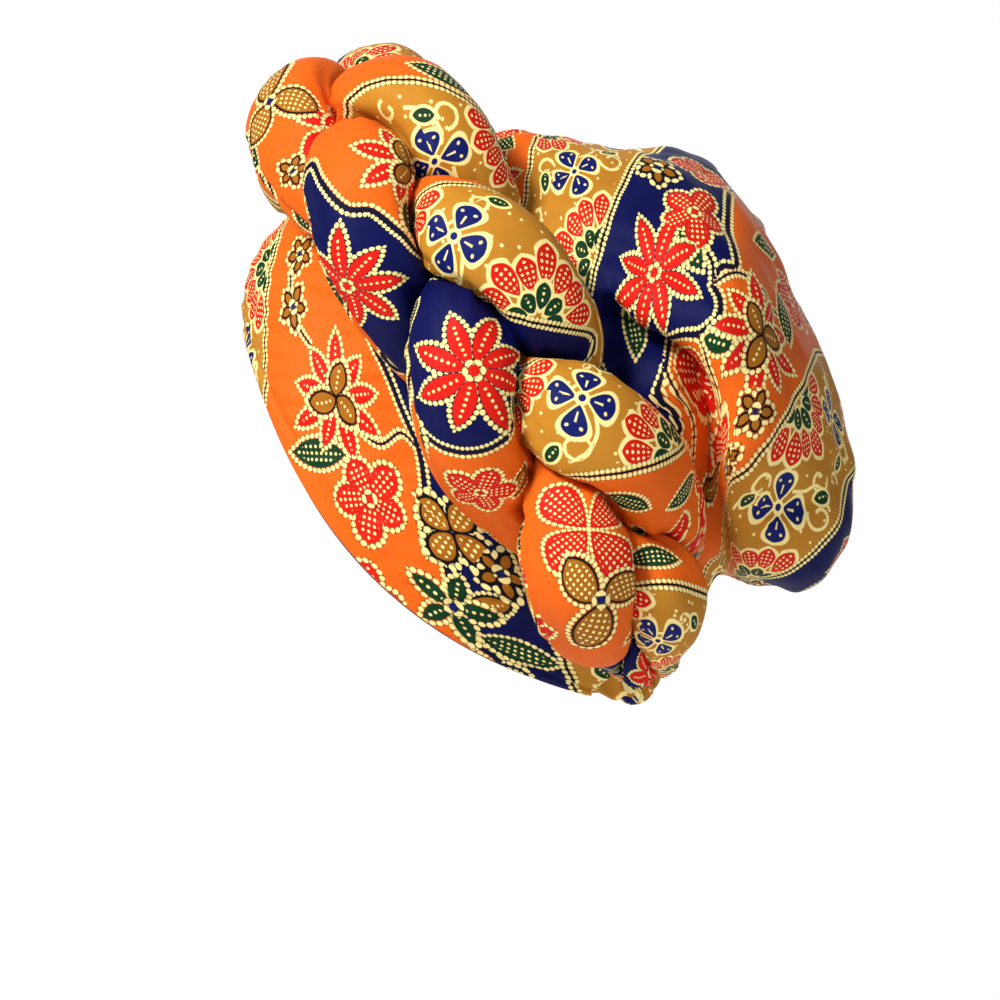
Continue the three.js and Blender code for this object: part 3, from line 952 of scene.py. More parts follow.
# The field between 60 and 185, navy next to 60 and orange next to 185, repeated each 408 mm
FIELD = (
    Motif("small_flower", 72, 226, 10, 1.25),
    Motif("dotted_flower", 99, 211, 20, 1.0),
    Motif("leaf", 102, 197, -18, 1.1),
    Motif("rosette", 96, 180, 15, 1.0),
    Motif("leaf", 92, 147, 105, 1.1),
    Motif("crowned_rosette", 154, 193, 60, 1.0),
    Motif("leaf", 160, 224, -40, 1.0),
    Motif("small_leaf", 141, 175, 20, 0.9),
    Motif("small_flower", 171, 171, 40, 1.0),
    Motif("small_flower", 174, 151, 0, 1.05),
    Motif("big_dotted_flower", 140, 146, 30, 0.9),
    Motif("ochre_leaf", 150, 122, 60, 1.0),
    Motif("leaf", 128, 108, 140, 1.1),
    Motif("rosette", 92, 92, 40, 0.95),
    Motif("crowned_rosette", 152, 78, 150, 1.0),
    Motif("small_flower", 72, 118, 0, 1.1),
    Motif("small_flower", 166, 48, 20, 1.1),
    Motif("leaf", 130, 42, 20, 1.0),
    Motif("dotted_flower", 88, 252, 0, 0.95),
    Motif("leaf", 130, 246, 70, 1.0),
    Motif("dotted_flower", 158, 252, 30, 1.0),
    Motif("small_flower", 163, 281, 15, 1.15),
    Motif("small_flower", 163, 306, 30, 1.15),
    Motif("rosette", 90, 300, 0, 1.0),
    Motif("small_leaf", 72, 328, 70, 1.0),
    Motif("crowned_rosette", 134, 342, 30, 1.05),
    Motif("leaf", 145, 366, 5, 1.15),
    Motif("dotted_flower", 119, 381, 10, 1.05),
    Motif("small_flower", 160, 392, 0, 1.1),
    Motif("bell", 84, 388, 140, 1.15),
    Motif("small_flower", 69, 402, 20, 1.25),
    Motif("star", 92, 11, 30, 1.1),
    Motif("ochre_leaf", 78, 8, 190, 0.9),
    Motif("leaf", 74, 27, 160, 0.9),
    Motif("small_leaf", 80, 44, 150, 1.1),
    Motif("dotted_flower", 128, 14, 30, 1.0),
)

# The winding vine that parts the navy from the orange
VINE = (
    (90, -8), (91, 10), (90, 24), (83, 33), (92, 48), (108, 60), (112, 78), (116, 96), (112, 116),
    (114, 134), (112, 151), (112, 158), (121, 167), (131, 172), (135, 180), (131, 187), (124, 191),
    (123, 198), (127, 204), (120, 212), (110, 228), (102, 245), (99, 262), (108, 276), (118, 292),
    (114, 312), (104, 328), (98, 342), (92, 357), (92, 372), (95, 384), (96, 398), (90, 400), (91, 418),
)

Line = namedtuple("Line", "points bead_offset core_half_width core over")

INK = paint(14, 15, 48)

# The lines' half widths and the distance of their beads, in millimetres, and how a scroll winds in
CURL_WIDTH = 0.8
STEM_BEADS = 1.45
STEM_HALF_WIDTH = 0.5
VINE_BEADS = 2.1
VINE_HALF_WIDTH = 1.1
CURL_CLOSING = 0.72
CURL_POWER = 1.3
SPLINE_STEPS = 30


def curl(across, along, radius, start, sweep, count=26):
    """A hook that winds in from radius, with its angles in degrees."""
    share = np.linspace(0, 1, count)
    angle = np.radians(start + sweep * share)
    reach = radius * (1 - CURL_CLOSING * share**CURL_POWER)
    return np.stack([across + reach * np.cos(angle), along + reach * np.sin(angle)], axis=-1)


def spline(points, spacing=1.0):
    """A smooth line through points, sampled about that far apart."""
    points = np.asarray(points, float)
    place = np.linspace(0, len(points) - 1, SPLINE_STEPS * len(points))
    fine = np.stack([through(points[:, axis], place) for axis in (0, 1)], axis=-1)
    lengths = np.concatenate([[0], np.cumsum(np.linalg.norm(np.diff(fine, axis=0), axis=-1))])
    even = np.linspace(0, lengths[-1], max(3, int(lengths[-1] / spacing)))
    return np.stack([np.interp(even, lengths, fine[:, axis]) for axis in (0, 1)], axis=-1)


# Solid cream scrolls of the strip
SCROLLS = (
    curl(49, -22, 7.0, -150, 330),
    curl(38, -10, 6.5, 60, -320),
    curl(12, -38, 6.0, 30, 330),
    curl(46, 26, 7.0, 120, -330),
    curl(14, 44, 6.5, -60, 320),
    curl(12, -62, 4.5, 200, 300),
    curl(50, 4, 4.5, 20, 300),
    spline(((31, -26), (36, -20), (38, -14), (44, -12), (52, -16))),
    spline(((25, 28), (22, 36), (15, 42), (10, 50), (13, 57))),
    spline(((22, -36), (16, -40), (12, -46), (12, -54))),
    spline(((36, 38), (44, 36), (50, 30), (52, 22))),
)

# Stems of the field, with a bead row on both sides
STEMS = (
    spline(((124, 191), (118, 197), (109, 199), (100, 196), (97, 188))),
    spline(((124, 191), (130, 203), (142, 210), (152, 214), (160, 222))),
    spline(((131, 172), (140, 168), (147, 158), (150, 140), (150, 126))),
    spline(((134, 330), (125, 350), (112, 358), (100, 352), (92, 357))),
    spline(((163, 281), (167, 293), (160, 312), (150, 322))),
    spline(((112, 78), (100, 74), (90, 80), (88, 90))),
    spline(((112, 78), (126, 70), (136, 60), (132, 46))),
    spline(((112, 134), (122, 126), (128, 116))),
    spline(((118, 292), (108, 290), (98, 296))),
    spline(((84, 33), (76, 36), (74, 44))),
)

LINES_OF_STRIP = tuple(Line(points, 0, CURL_WIDTH, CREAM, 0) for points in SCROLLS)


def field_lines(vine, stems):
    """The winding vine first, and then the thinner stems."""
    thin = [Line(points, STEM_BEADS, STEM_HALF_WIDTH, INK, 0) for points in stems]
    return (Line(spline(vine), VINE_BEADS, VINE_HALF_WIDTH, INK, 0), *thin)


Field = namedtuple("Field", "motifs lines edges repeat")
CLOTH_FIELD = Field(FIELD, field_lines(VINE, STEMS), (), REPEAT_ALONG)


def wrapped(values, span):
    """The values moved by whole spans, to lie within half a span of 0."""
    return (values + span / 2) % span - span / 2


def nearest_line(cloth, lines, repeat):
    """For each place on the cloth, the line and the sample of it that lie nearest."""
    samples, tangents, arcs, totals, owners = [], [], [], [], []
    for number, line in enumerate(lines):
        steps = np.linalg.norm(np.diff(line.points, axis=0), axis=-1)
        arc = np.concatenate([[0], np.cumsum(steps)])
        samples.append(line.points)
        tangents.append(unit(np.gradient(line.points, axis=0)))
        arcs.append(arc)
        totals.append(np.full(len(arc), arc[-1]))
        owners.append(np.full(len(arc), number))
    samples, tangents, arcs, totals, owners = map(np.concatenate, (samples, tangents, arcs, totals, owners))
    spans = np.array([REPEAT_ACROSS, repeat])
    copies = np.array([(i, j) for i in (-1, 0, 1) for j in (-1, 0, 1)]) * spans
    spread = (samples[None] + copies[:, None]).reshape(-1, 2)
    tree = KDTree(len(spread))
    for number, (across, along) in enumerate(spread.tolist()):
        tree.insert((across, along, 0), number)
    tree.balance()
    base = cloth % spans
    hits = np.array([tree.find((across, along, 0))[1] for across, along in base.tolist()])
    found = hits % len(samples)
    return owners[found], base - spread[hits], tangents[found], arcs[found], totals[found]


# Where no motif lies near, in millimetres
FAR = 900.0

# How far round a motif's part its stamp reaches, as a share and in millimetres
STAMP_SHARE = 1.15
STAMP_MARGIN = 4

# The border of the strip: its half width, and its look as a line with beads
BORDER_HALF_WIDTH = 4.2
BORDER_LOOK = (1.45, 0.42, 1, 0)

# Strips are numbered this far to both sides of the one at 0
LAST_STRIP = 9


def line_layer(centres, corners, lines, repeat):
    """The nearest line of each face: how far its corners lie across it, along it and beyond its ends."""
    owner, offset, tangent, arc, total = nearest_line(centres, lines, repeat)
    local = offset[:, None] + corners - centres[:, None]
    across = tangent[:, None, 0] * local[..., 1] - tangent[:, None, 1] * local[..., 0]
    along = arc[:, None] + (tangent[:, None] * local).sum(-1)
    beyond = np.maximum(-along, along - total[:, None])
    look = np.array([(line.bead_offset, line.core_half_width, line.over, 0) for line in lines])[owner]
    core = np.array([(*line.core, 1) for line in lines])[owner]
    return np.stack([across, along, beyond], axis=-1), look, core


def stamp_layer(centres, corners, motifs, layer, repeat):
    """The motif part that lies over each face, with the corners' places in it."""
    best = np.full(len(centres), 1.0)
    local = np.full(corners.shape, FAR)
    shape = np.zeros((len(centres), 4))
    look = np.zeros((len(centres), 4))
    fill = np.zeros((len(centres), 4))
    shape[:] = (1, 0, 1, 1)
    for motif in motifs:
        for piece in MOTIFS[motif.kind]:
            if piece.layer != layer:
                continue
            reach = (piece.offset + piece.half_length) * STAMP_SHARE + STAMP_MARGIN
            angle = math.radians(motif.turn)
            turn = np.array([[math.cos(angle), math.sin(angle)], [-math.sin(angle), math.cos(angle)]])
            off = np.stack(
                [
                    wrapped(centres[:, 0] - motif.across, REPEAT_ACROSS),
                    wrapped(centres[:, 1] - motif.along, repeat),
                ],
                axis=-1,
            )
            here = off @ turn.T / motif.size
            if piece.petals > 1:
                share = np.hypot(here[:, 0], here[:, 1]) / reach
            else:
                width = piece.half_width + STAMP_MARGIN
                share = np.maximum(np.abs(here[:, 0]) / reach, np.abs(here[:, 1]) / width)
            won = share < best
            best[won] = share[won]
            spread = (off[:, None] + corners - centres[:, None]) @ turn.T / motif.size
            local[won] = spread[won]
            shape[won] = (piece.petals, piece.offset, piece.half_length, piece.half_width)
            look[won] = (piece.edge, piece.taper, piece.swirl, motif.across)
            fill[won] = (*piece.fill, piece.dots)
    return np.concatenate([local, np.zeros(local.shape[:-1] + (1,))], axis=-1), shape, look, fill


def chart_print(corners, strip_starts=None, field=None):
    """All that the cloth's shader needs to draw the print on faces whose corners lie there on the cloth."""
    field = field or CLOTH_FIELD
    centres = corners.mean(axis=1)
    cell = np.floor(centres[:, 0] / REPEAT_ACROSS).astype(int)
    strips = range(-LAST_STRIP, LAST_STRIP + 1)
    starts = np.array([(strip_starts or {}).get(number, 0) for number in strips], float)
    shift = np.zeros((len(centres), 2))
    shift[:, 1] = starts[np.clip(cell + LAST_STRIP, 0, 2 * LAST_STRIP)]
    strip_centres = centres - shift
    strip_corners = corners - shift[:, None]
    on_strip = np.abs(wrapped(centres[:, 0] - STRIP_WIDTH / 2, REPEAT_ACROSS)) < STRIP_WIDTH / 2
    chart = {}
    middle_off = wrapped(centres[:, 0] - STRIP_WIDTH / 2, REPEAT_ACROSS)[:, None]
    middle_off = middle_off + corners[..., 0] - centres[:, None, 0]
    strip_side = STRIP_WIDTH / 2 - np.abs(middle_off)
    vine_side = line_layer(centres, corners, field.lines[:1] + field.edges, field.repeat)[0][..., 0]
    chart["ground"] = np.stack([strip_side, vine_side, 0 * strip_side], axis=-1)
    chart["cloth"] = np.concatenate([corners, 0 * corners[..., :1]], axis=-1)

    on = line_layer(strip_centres, strip_corners, LINES_OF_STRIP, STRIP_REPEAT)
    off = line_layer(centres, corners, field.lines, field.repeat)
    line, look, core = (
        np.where(on_strip.reshape((-1,) + (1,) * (first.ndim - 1)), first, second)
        for first, second in zip(on, off)
    )
    border = np.abs(STRIP_WIDTH / 2 - np.abs(middle_off.mean(axis=1))) < BORDER_HALF_WIDTH
    line[border, :, 0] = strip_side[border]
    line[border, :, 1] = corners[border, :, 1]
    line[border, :, 2] = -1
    look[border] = BORDER_LOOK
    core[border] = (*BLACK, 1)
    chart["line"], chart["line_look"], chart["line_core"] = line, look, core

    for layer in (LEAVES, FLOWERS, CENTRES):
        on = stamp_layer(strip_centres, strip_corners, STRIP, layer, STRIP_REPEAT)
        off = stamp_layer(centres, corners, field.motifs, layer, field.repeat)
        for name, first, second in zip(("place", "shape", "look", "fill"), on, off):
            where = on_strip.reshape((-1,) + (1,) * (first.ndim - 1))
            chart[f"stamp{layer}_{name}"] = np.where(where, first, second)
    return chart


# Cloth shader


class Wiring:
    """Adds nodes to a tree, taking each input as a number or as another node's socket."""

    def __init__(self, tree):
        self.tree = tree

    def put(self, socket, value):
        """Links a socket to an input, or sets the input to a number or a colour."""
        if isinstance(value, bpy.types.NodeSocket):
            self.tree.links.new(value, socket)
        else:
            socket.default_value = value

    def maths(self, operation, *values, clamp=False):
        node = self.tree.nodes.new("ShaderNodeMath")
        node.operation = operation
        node.use_clamp = clamp
        for socket, value in zip(node.inputs, values):
            self.put(socket, value)
        return node.outputs[0]

    def inside(self, distance, limit, softness=0.22):
        """1 where a distance is less than a limit, with a soft edge."""
        gap = self.maths("SUBTRACT", limit, distance)
        return self.maths("MULTIPLY_ADD", gap, 1 / softness, 0.5, clamp=True)

    def both(self, first, second):
        """1 where both shares are 1."""
        return self.maths("MULTIPLY", first, second)

    def mix(self, share, below, above):
        node = self.tree.nodes.new("ShaderNodeMix")
        node.data_type = "RGBA"
        self.put(node.inputs[0], share)
        self.put(node.inputs[6], below)
        self.put(node.inputs[7], above)
        return node.outputs[2]

    def attribute(self, name):
        node = self.tree.nodes.new("ShaderNodeAttribute")
        node.attribute_name = name
        return node

    def parts(self, vector):
        node = self.tree.nodes.new("ShaderNodeSeparateXYZ")
        self.put(node.inputs[0], vector)
        return node.outputs[0], node.outputs[1], node.outputs[2]


def new_group(name, colours, numbers):
    """An empty node group with colour and number inputs and one colour output."""
    tree = bpy.data.node_groups.new(name, "ShaderNodeTree")
    for label in colours:
        tree.interface.new_socket(label, in_out="INPUT", socket_type="NodeSocketColor")
    for label in numbers:
        kind = "NodeSocketVector" if label in ("Place", "Shape", "Look") else "NodeSocketFloat"
        tree.interface.new_socket(label, in_out="INPUT", socket_type=kind)
    tree.interface.new_socket("Color", in_out="OUTPUT", socket_type="NodeSocketColor")
    source = tree.nodes.new("NodeGroupInput")
    sink = tree.nodes.new("NodeGroupOutput")
    return tree, source.outputs, sink.inputs[0]


# Sizes in the print, in millimetres: radii of beads and dots with their pitches, the dark ground beside
# the beads, and the widths of plain edges
BEAD = 0.95
BEAD_PITCH = 2.2
DOT = 0.6
DOT_PITCH = 2.35
BEAD_GROUND = 1.05
STAMP_BEADS = 1.15
OUTLINED_BEADS_FURTHER = 0.5
SOLID_EDGE_WIDTH = 1.45
OUTLINE_HALF_WIDTH = 0.42
GRID_MARGIN = -1.3
STEM_IN_PETAL = 0.45

# Added before a remainder is taken, because it has to be of a positive number
BEAD_START = 980.0
DOT_START = 92.0

# How dark the ground beside the beads is, round a motif and along a line
STAMP_GROUND = 0.55
LINE_GROUND = 0.5
LINE_END_MARGIN = 0.2

# How petals differ in length, and the least share of its width that a tapered one keeps
PETAL_STEP = 2.4
PETAL_DIFFERENCE = 0.10
LEAST_WIDTH = 0.35

# The weave and the small specks of the field
RIB_PITCH = 0.85
RIB_LEAN = (0.8, 0.6)
RIB_SHADE = 0.10
BUMP_STRENGTH = 0.3
BUMP_DISTANCE = 0.0004
SPECK_PITCH = 8.5
SPECK_SIZE = 0.085
SPECK_SOFTNESS = 0.03
SPECK_FROM_STRIP = 4.0
ROUGHNESS = 0.5
SPECULAR = 0.08
REVERSE = paint(196, 128, 84)
CREAM_PAINT = (*CREAM, 1)
BLACK_PAINT = (*BLACK, 1)


def bead_row(wire, arc, off):
    """Beads along a line, from the place along it and the distance off it."""
    along = wire.maths("MODULO", wire.maths("ADD", arc, BEAD_START), BEAD_PITCH)
    along = wire.maths("SUBTRACT", along, BEAD_PITCH / 2)
    return wire.inside(wire.maths("SQRT", square_sum(wire, along, off)), BEAD)


def square_sum(wire, first, second):
    """The sum of two squares."""
    return wire.maths("MULTIPLY_ADD", first, first, wire.maths("MULTIPLY", second, second))


def stamp_group():
    """Draws a ring of petals, or one leaf, over a colour."""
    tree, given, result = new_group(
        "print_stamp", ("Below", "Fill"), ("Place", "Shape", "Look", "Half width", "Seed", "Dots")
    )
    wire = Wiring(tree)
    m = wire.maths
    x, y, _ = wire.parts(given["Place"])
    petals, offset, half_length = wire.parts(given["Shape"])
    edge, taper, swirl = wire.parts(given["Look"])
    half_width = given["Half width"]

    from_middle = m("SQRT", square_sum(wire, x, y))
    angle = m("MULTIPLY_ADD", swirl, from_middle, m("ARCTAN2", y, x))
    sector = m("DIVIDE", TAU, petals)
    number = m("ROUND", m("DIVIDE", angle, sector))
    ringed = m("GREATER_THAN", petals, 1.5)
    folded = m("SUBTRACT", angle, m("MULTIPLY", m("MULTIPLY", sector, number), ringed))
    wobble = m("SINE", m("MULTIPLY_ADD", number, PETAL_STEP, given["Seed"]))
    longer = m("MULTIPLY_ADD", m("MULTIPLY", wobble, ringed), PETAL_DIFFERENCE, 1.0)
    out = m("DIVIDE", m("MULTIPLY", from_middle, m("COSINE", folded)), longer)
    px = m("SUBTRACT", out, offset)
    widen = m("MAXIMUM", m("MULTIPLY_ADD", m("DIVIDE", px, half_length), taper, 1.0), LEAST_WIDTH)
    py = m("ABSOLUTE", m("DIVIDE", m("MULTIPLY", from_middle, m("SINE", folded)), widen))

    squares = square_sum(wire, half_length, half_width)
    bow = m("DIVIDE", squares, m("MULTIPLY", half_width, 2.0))
    across = m("ADD", py, m("SUBTRACT", bow, half_width))
    outside = m("SUBTRACT", m("SQRT", square_sum(wire, px, across)), bow)
    arc = m("MULTIPLY", bow, m("ARCTAN2", px, across))

    solid = m("COMPARE", edge, float(SOLID), 0.1)
    outlined = m("COMPARE", edge, float(OUTLINED), 0.1)
    beaded = m("SUBTRACT", 1.0, solid)
    shown = m("GREATER_THAN", edge, 0.5)
    bead_middle = m("MULTIPLY_ADD", outlined, OUTLINED_BEADS_FURTHER, STAMP_BEADS)
    beads = bead_row(wire, arc, m("SUBTRACT", outside, bead_middle))
    halo = wire.both(wire.inside(outside, m("ADD", bead_middle, BEAD_GROUND)), beaded)
    halo = wire.both(m("MULTIPLY", halo, STAMP_GROUND), shown)
    solid_edge = wire.both(wire.inside(outside, SOLID_EDGE_WIDTH), solid)
    cream_edge = m("MAXIMUM", wire.both(beads, beaded), solid_edge)
    body = wire.inside(outside, 0.0)
    outline = wire.both(wire.inside(m("ABSOLUTE", outside), OUTLINE_HALF_WIDTH), outlined)

    dots = given["Dots"]
    row = m("COMPARE", dots, float(ROW), 0.1)
    grid = m("COMPARE", dots, float(GRID), 0.1)
    keyhole = m("COMPARE", dots, float(KEYHOLE), 0.1)
    half_pitch = DOT_PITCH / 2
    dot_x = m("SUBTRACT", m("MODULO", m("ADD", px, DOT_START), DOT_PITCH), half_pitch)
    grid_y = m("SUBTRACT", m("MODULO", m("ADD", py, half_pitch), DOT_PITCH), half_pitch)
    dot_y = m("MULTIPLY_ADD", m("SUBTRACT", grid_y, py), grid, py)
    spot = wire.inside(m("SQRT", square_sum(wire, dot_x, dot_y)), DOT)
    length_share = m("DIVIDE", m("ABSOLUTE", px), half_length)
    in_row = wire.both(wire.inside(length_share, 0.6, 0.05), row)
    in_grid = wire.both(wire.inside(outside, GRID_MARGIN), grid)
    spots = wire.both(spot, m("MAXIMUM", in_row, in_grid))
    stem_x = m("ABSOLUTE", m("MULTIPLY_ADD", half_length, 0.25, px))
    stem = wire.both(wire.inside(py, STEM_IN_PETAL), wire.inside(stem_x, m("MULTIPLY", half_length, 0.32)))
    ball_x = m("MULTIPLY_ADD", half_length, -0.38, px)
    ball_y = m("MULTIPLY_ADD", half_width, -0.5, py)
    ball = wire.inside(m("SQRT", square_sum(wire, ball_x, ball_y)), DOT)
    marks = m("MAXIMUM", spots, wire.both(m("MAXIMUM", stem, ball), keyhole))

    colour = wire.mix(halo, given["Below"], BLACK_PAINT)
    colour = wire.mix(cream_edge, colour, CREAM_PAINT)
    colour = wire.mix(body, colour, given["Fill"])
    colour = wire.mix(outline, colour, BLACK_PAINT)
    wire.put(result, wire.mix(wire.both(marks, body), colour, CREAM_PAINT))
    return tree


def line_group():
    """Draws a vine, a scroll or a border over a colour."""
    tree, given, result = new_group("print_line", ("Below", "Core"), ("Place", "Look", "Share"))
    wire = Wiring(tree)
    m = wire.maths
    off, arc, beyond = wire.parts(given["Place"])
    bead_offset, core_half, _ = wire.parts(given["Look"])
    off = m("ABSOLUTE", off)
    share = wire.both(wire.inside(beyond, LINE_END_MARGIN), given["Share"])
    beaded = m("GREATER_THAN", bead_offset, 0.1)
    beads = wire.both(bead_row(wire, arc, m("SUBTRACT", off, bead_offset)), beaded)
    halo = wire.both(wire.inside(off, m("ADD", bead_offset, BEAD_GROUND)), beaded)
    core = wire.inside(off, core_half)
    colour = wire.mix(wire.both(m("MULTIPLY", halo, LINE_GROUND), share), given["Below"], BLACK_PAINT)
    colour = wire.mix(wire.both(beads, share), colour, CREAM_PAINT)
    wire.put(result, wire.mix(wire.both(core, share), colour, given["Core"]))
    return tree


def add_group(wire, tree, **values):
    """One use of a node group. An underscore in a name stands for the blank in an input's label."""
    node = wire.tree.nodes.new("ShaderNodeGroup")
    node.node_tree = tree
    for label, value in values.items():
        wire.put(node.inputs[label.replace("_", " ")], value)
    return node.outputs[0]


def cloth_bump(wire, shader, height):
    """Raises the cloth's surface by a height from 0 to 1."""
    bump_node = wire.tree.nodes.new("ShaderNodeBump")
    bump_node.inputs["Strength"].default_value = BUMP_STRENGTH
    bump_node.inputs["Distance"].default_value = BUMP_DISTANCE
    wire.put(bump_node.inputs["Height"], height)
    wire.put(shader.inputs["Normal"], bump_node.outputs[0])


def finish_shader(shader):
    """The dull surface of washed cotton."""
    shader.inputs["Roughness"].default_value = ROUGHNESS
    shader.inputs["Specular IOR Level"].default_value = SPECULAR


def twill(wire, cloth):
    """The fine diagonal ribs of the weave, from 0 to 1."""
    across, along, _ = wire.parts(cloth)
    lean_across, lean_along = RIB_LEAN
    slant = wire.maths("MULTIPLY_ADD", across, lean_across, wire.maths("MULTIPLY", along, lean_along))
    ribs = wire.maths("SINE", wire.maths("MULTIPLY", slant, TAU / RIB_PITCH))
    return wire.maths("MULTIPLY_ADD", ribs, 0.5, 0.5)


def printed_cloth():
    """The cotton's face: ground colours, specks, lines and stamps, in the order in which they overlap."""
    material = bpy.data.materials.new("printed_cotton")
    material.use_nodes = True
    tree = material.node_tree
    tree.nodes.clear()
    wire = Wiring(tree)
    m = wire.maths
    output = tree.nodes.new("ShaderNodeOutputMaterial")
    shader = tree.nodes.new("ShaderNodeBsdfPrincipled")
    tree.links.new(shader.outputs[0], output.inputs[0])

    strip_side, vine_side, _ = wire.parts(wire.attribute("ground").outputs["Vector"])
    cloth = wire.attribute("cloth").outputs["Vector"]
    field = wire.mix(wire.inside(0.0, vine_side), (*ORANGE, 1), (*NAVY, 1))
    colour = wire.mix(wire.inside(0.0, strip_side), field, (*OCHRE, 1))

    cells = tree.nodes.new("ShaderNodeTexVoronoi")
    cells.voronoi_dimensions = "2D"
    cells.inputs["Scale"].default_value = 1 / SPECK_PITCH
    wire.put(cells.inputs["Vector"], cloth)
    speck = wire.inside(cells.outputs["Distance"], SPECK_SIZE, SPECK_SOFTNESS)
    speck = wire.both(speck, wire.inside(SPECK_FROM_STRIP, strip_side))
    colour = wire.mix(speck, colour, CREAM_PAINT)

    line_look = wire.attribute("line_look")
    over = wire.parts(line_look.outputs["Vector"])[2]
    lines = line_group()
    line_inputs = {
        "Core": wire.attribute("line_core").outputs["Color"],
        "Place": wire.attribute("line").outputs["Vector"],
        "Look": line_look.outputs["Vector"],
    }
    colour = add_group(wire, lines, Below=colour, Share=m("SUBTRACT", 1.0, over), **line_inputs)
    stamps = stamp_group()
    for layer in (LEAVES, FLOWERS, CENTRES):
        shape = wire.attribute(f"stamp{layer}_shape")
        look = wire.attribute(f"stamp{layer}_look")
        fill = wire.attribute(f"stamp{layer}_fill")
        colour = add_group(
            wire,
            stamps,
            Below=colour,
            Fill=fill.outputs["Color"],
            Place=wire.attribute(f"stamp{layer}_place").outputs["Vector"],
            Shape=shape.outputs["Vector"],
            Look=look.outputs["Vector"],
            Half_width=shape.outputs["Alpha"],
            Seed=look.outputs["Alpha"],
            Dots=fill.outputs["Alpha"],
        )
    colour = add_group(wire, lines, Below=colour, Share=over, **line_inputs)
    ribs = twill(wire, cloth)
    colour = wire.mix(m("MULTIPLY", ribs, RIB_SHADE), colour, BLACK_PAINT)
    wire.put(shader.inputs["Base Color"], colour)
    finish_shader(shader)
    cloth_bump(wire, shader, ribs)
    return material


def plain_cloth():
    """The cloth's reverse, where the print shows only as a warm tint."""
    material = bpy.data.materials.new("cotton_reverse")
    material.use_nodes = True
    shader = material.node_tree.nodes["Principled BSDF"]
    shader.inputs["Base Color"].default_value = (*REVERSE, 1)
    finish_shader(shader)
    return material


# Pieces


def corner_cloth(grid_flat, form, closed):
    """The place on the cloth of each face's corners, with a seam where a closed grid was cut."""
    rows, columns = form.rows, form.columns
    per_point = np.zeros((len(form.points), 2))
    count = rows * columns
    per_point[:count] = grid_flat[:, :columns].reshape(-1, 2)
    if len(form.points) >= 2 * count:
        per_point[count : 2 * count] = per_point[:count]
    corners = per_point[form.faces]
    across = columns if closed else columns - 1
    row, column = np.meshgrid(np.arange(rows - 1), np.arange(across), indexing="ij")
    after = column + 1 if grid_flat.shape[1] > columns else (column + 1) % columns
    quads = np.stack(
        [
            grid_flat[row, column],
            grid_flat[row, after],
            grid_flat[row + 1, after],
            grid_flat[row + 1, column],
        ],
        axis=2,
    )
    corners[: quads.shape[0] * quads.shape[1]] = quads.reshape(-1, 4, 2)
    return corners


def set_chart(mesh, faces, chart, uv):
    """Stores the print on a mesh: corner values as vectors, face values as colours."""
    triangle = faces[:, 2] == faces[:, 3]
    kept = np.ones(faces.shape, bool)
    kept[triangle, 3] = False
    layer = mesh.uv_layers.new(name="cloth_uv")
    layer.data.foreach_set("uv", (uv[kept] * MM * 10).astype(np.float32).ravel())
    for name, values in chart.items():
        if values.ndim == 3:
            stored = mesh.attributes.new(name, "FLOAT_VECTOR", "CORNER")
            stored.data.foreach_set("vector", values[kept].astype(np.float32).ravel())
        else:
            stored = mesh.attributes.new(name, "FLOAT_COLOR", "FACE")
            stored.data.foreach_set("color", values.astype(np.float32).ravel())


def dress(name, form, corners, materials, slot, **chart_options):
    """Makes the piece that stands for a CAD node, in printed cloth outside and plain cloth inside."""
    piece = make_mesh(name + "_cloth", form.points, form.faces)
    mesh = piece.data
    set_chart(mesh, form.faces, chart_print(corners, **chart_options), corners)
    for material in materials:
        mesh.materials.append(material)
    mesh.polygons.foreach_set("material_index", np.where(form.outer, 0, 1).astype(np.int32))
    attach(piece, "root")
    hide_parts(name)
    return piece


# How each piece was cut: the turn of its flat shape on the cloth in degrees, and a smooth correction over
# the left side as numbers for 1, y, z, yz, yy and zz, with y and z in decimetres
Cut = namedtuple("Cut", "turn correction upside_down shift")
BAG_CUT = Cut(348, (-128.2, 180.9, 44.9, -39.0, -57.2, -4.0), False, -6)
BAND_CUT = Cut(126.8, (-155.6, 8.2, 41.2, 48.9, 0, 0), True, 60)

# The limits of the correction, in millimetres along y and z, and the sides between which it comes in
CORRECTED_Y = (-90, 175)
CORRECTED_Z = (-80, 165)
CORRECTED_SIDE = (-60, 30)
DECIMETRE = 100

# The casing's own stretch of the cloth, in the middle of the ochre strip
CASING_ACROSS = 3
CASING_CLOTH_WIDTH = 54
CASING_ALONG = 40

# The cloth that the main fold hides, in millimetres, the shares of its line over which that comes in, and
# the distances over which it ends behind the line
TUCKED = 42
TUCKED_SHARES = (0.3, 0.9)
TUCKED_END = (-6, 1)
BAG_STRIP_STARTS = {0: 242, 1: 195, -1: 124}


def lay_on_cloth(flat, grid, cut):
    """The place on the cloth of each point of a flattened grid."""
    if flat.shape[1] > grid.shape[1]:
        grid = np.concatenate([grid, grid[:, :1]], axis=1)
    turn = math.radians(cut.turn)
    y = np.clip(grid[..., 1], *CORRECTED_Y) / DECIMETRE
    z = np.clip(grid[..., 2], *CORRECTED_Z) / DECIMETRE
    basis = np.stack([np.ones_like(y), y, z, y * z, y * y, z * z], axis=-1)
    left = smooth(*CORRECTED_SIDE, grid[..., 0])
    correction = basis @ np.array(cut.correction)
    typical = correction[grid[..., 0] > 0].mean()
    across = flat @ np.array([math.cos(turn), math.sin(turn)]) + typical + (correction - typical) * left
    along = flat @ np.array([-math.sin(turn), math.cos(turn)])
    if cut.upside_down:
        across = REPEAT_ACROSS + STRIP_WIDTH - across
        along = -along
    return np.stack([across, along + cut.shift], axis=-1)


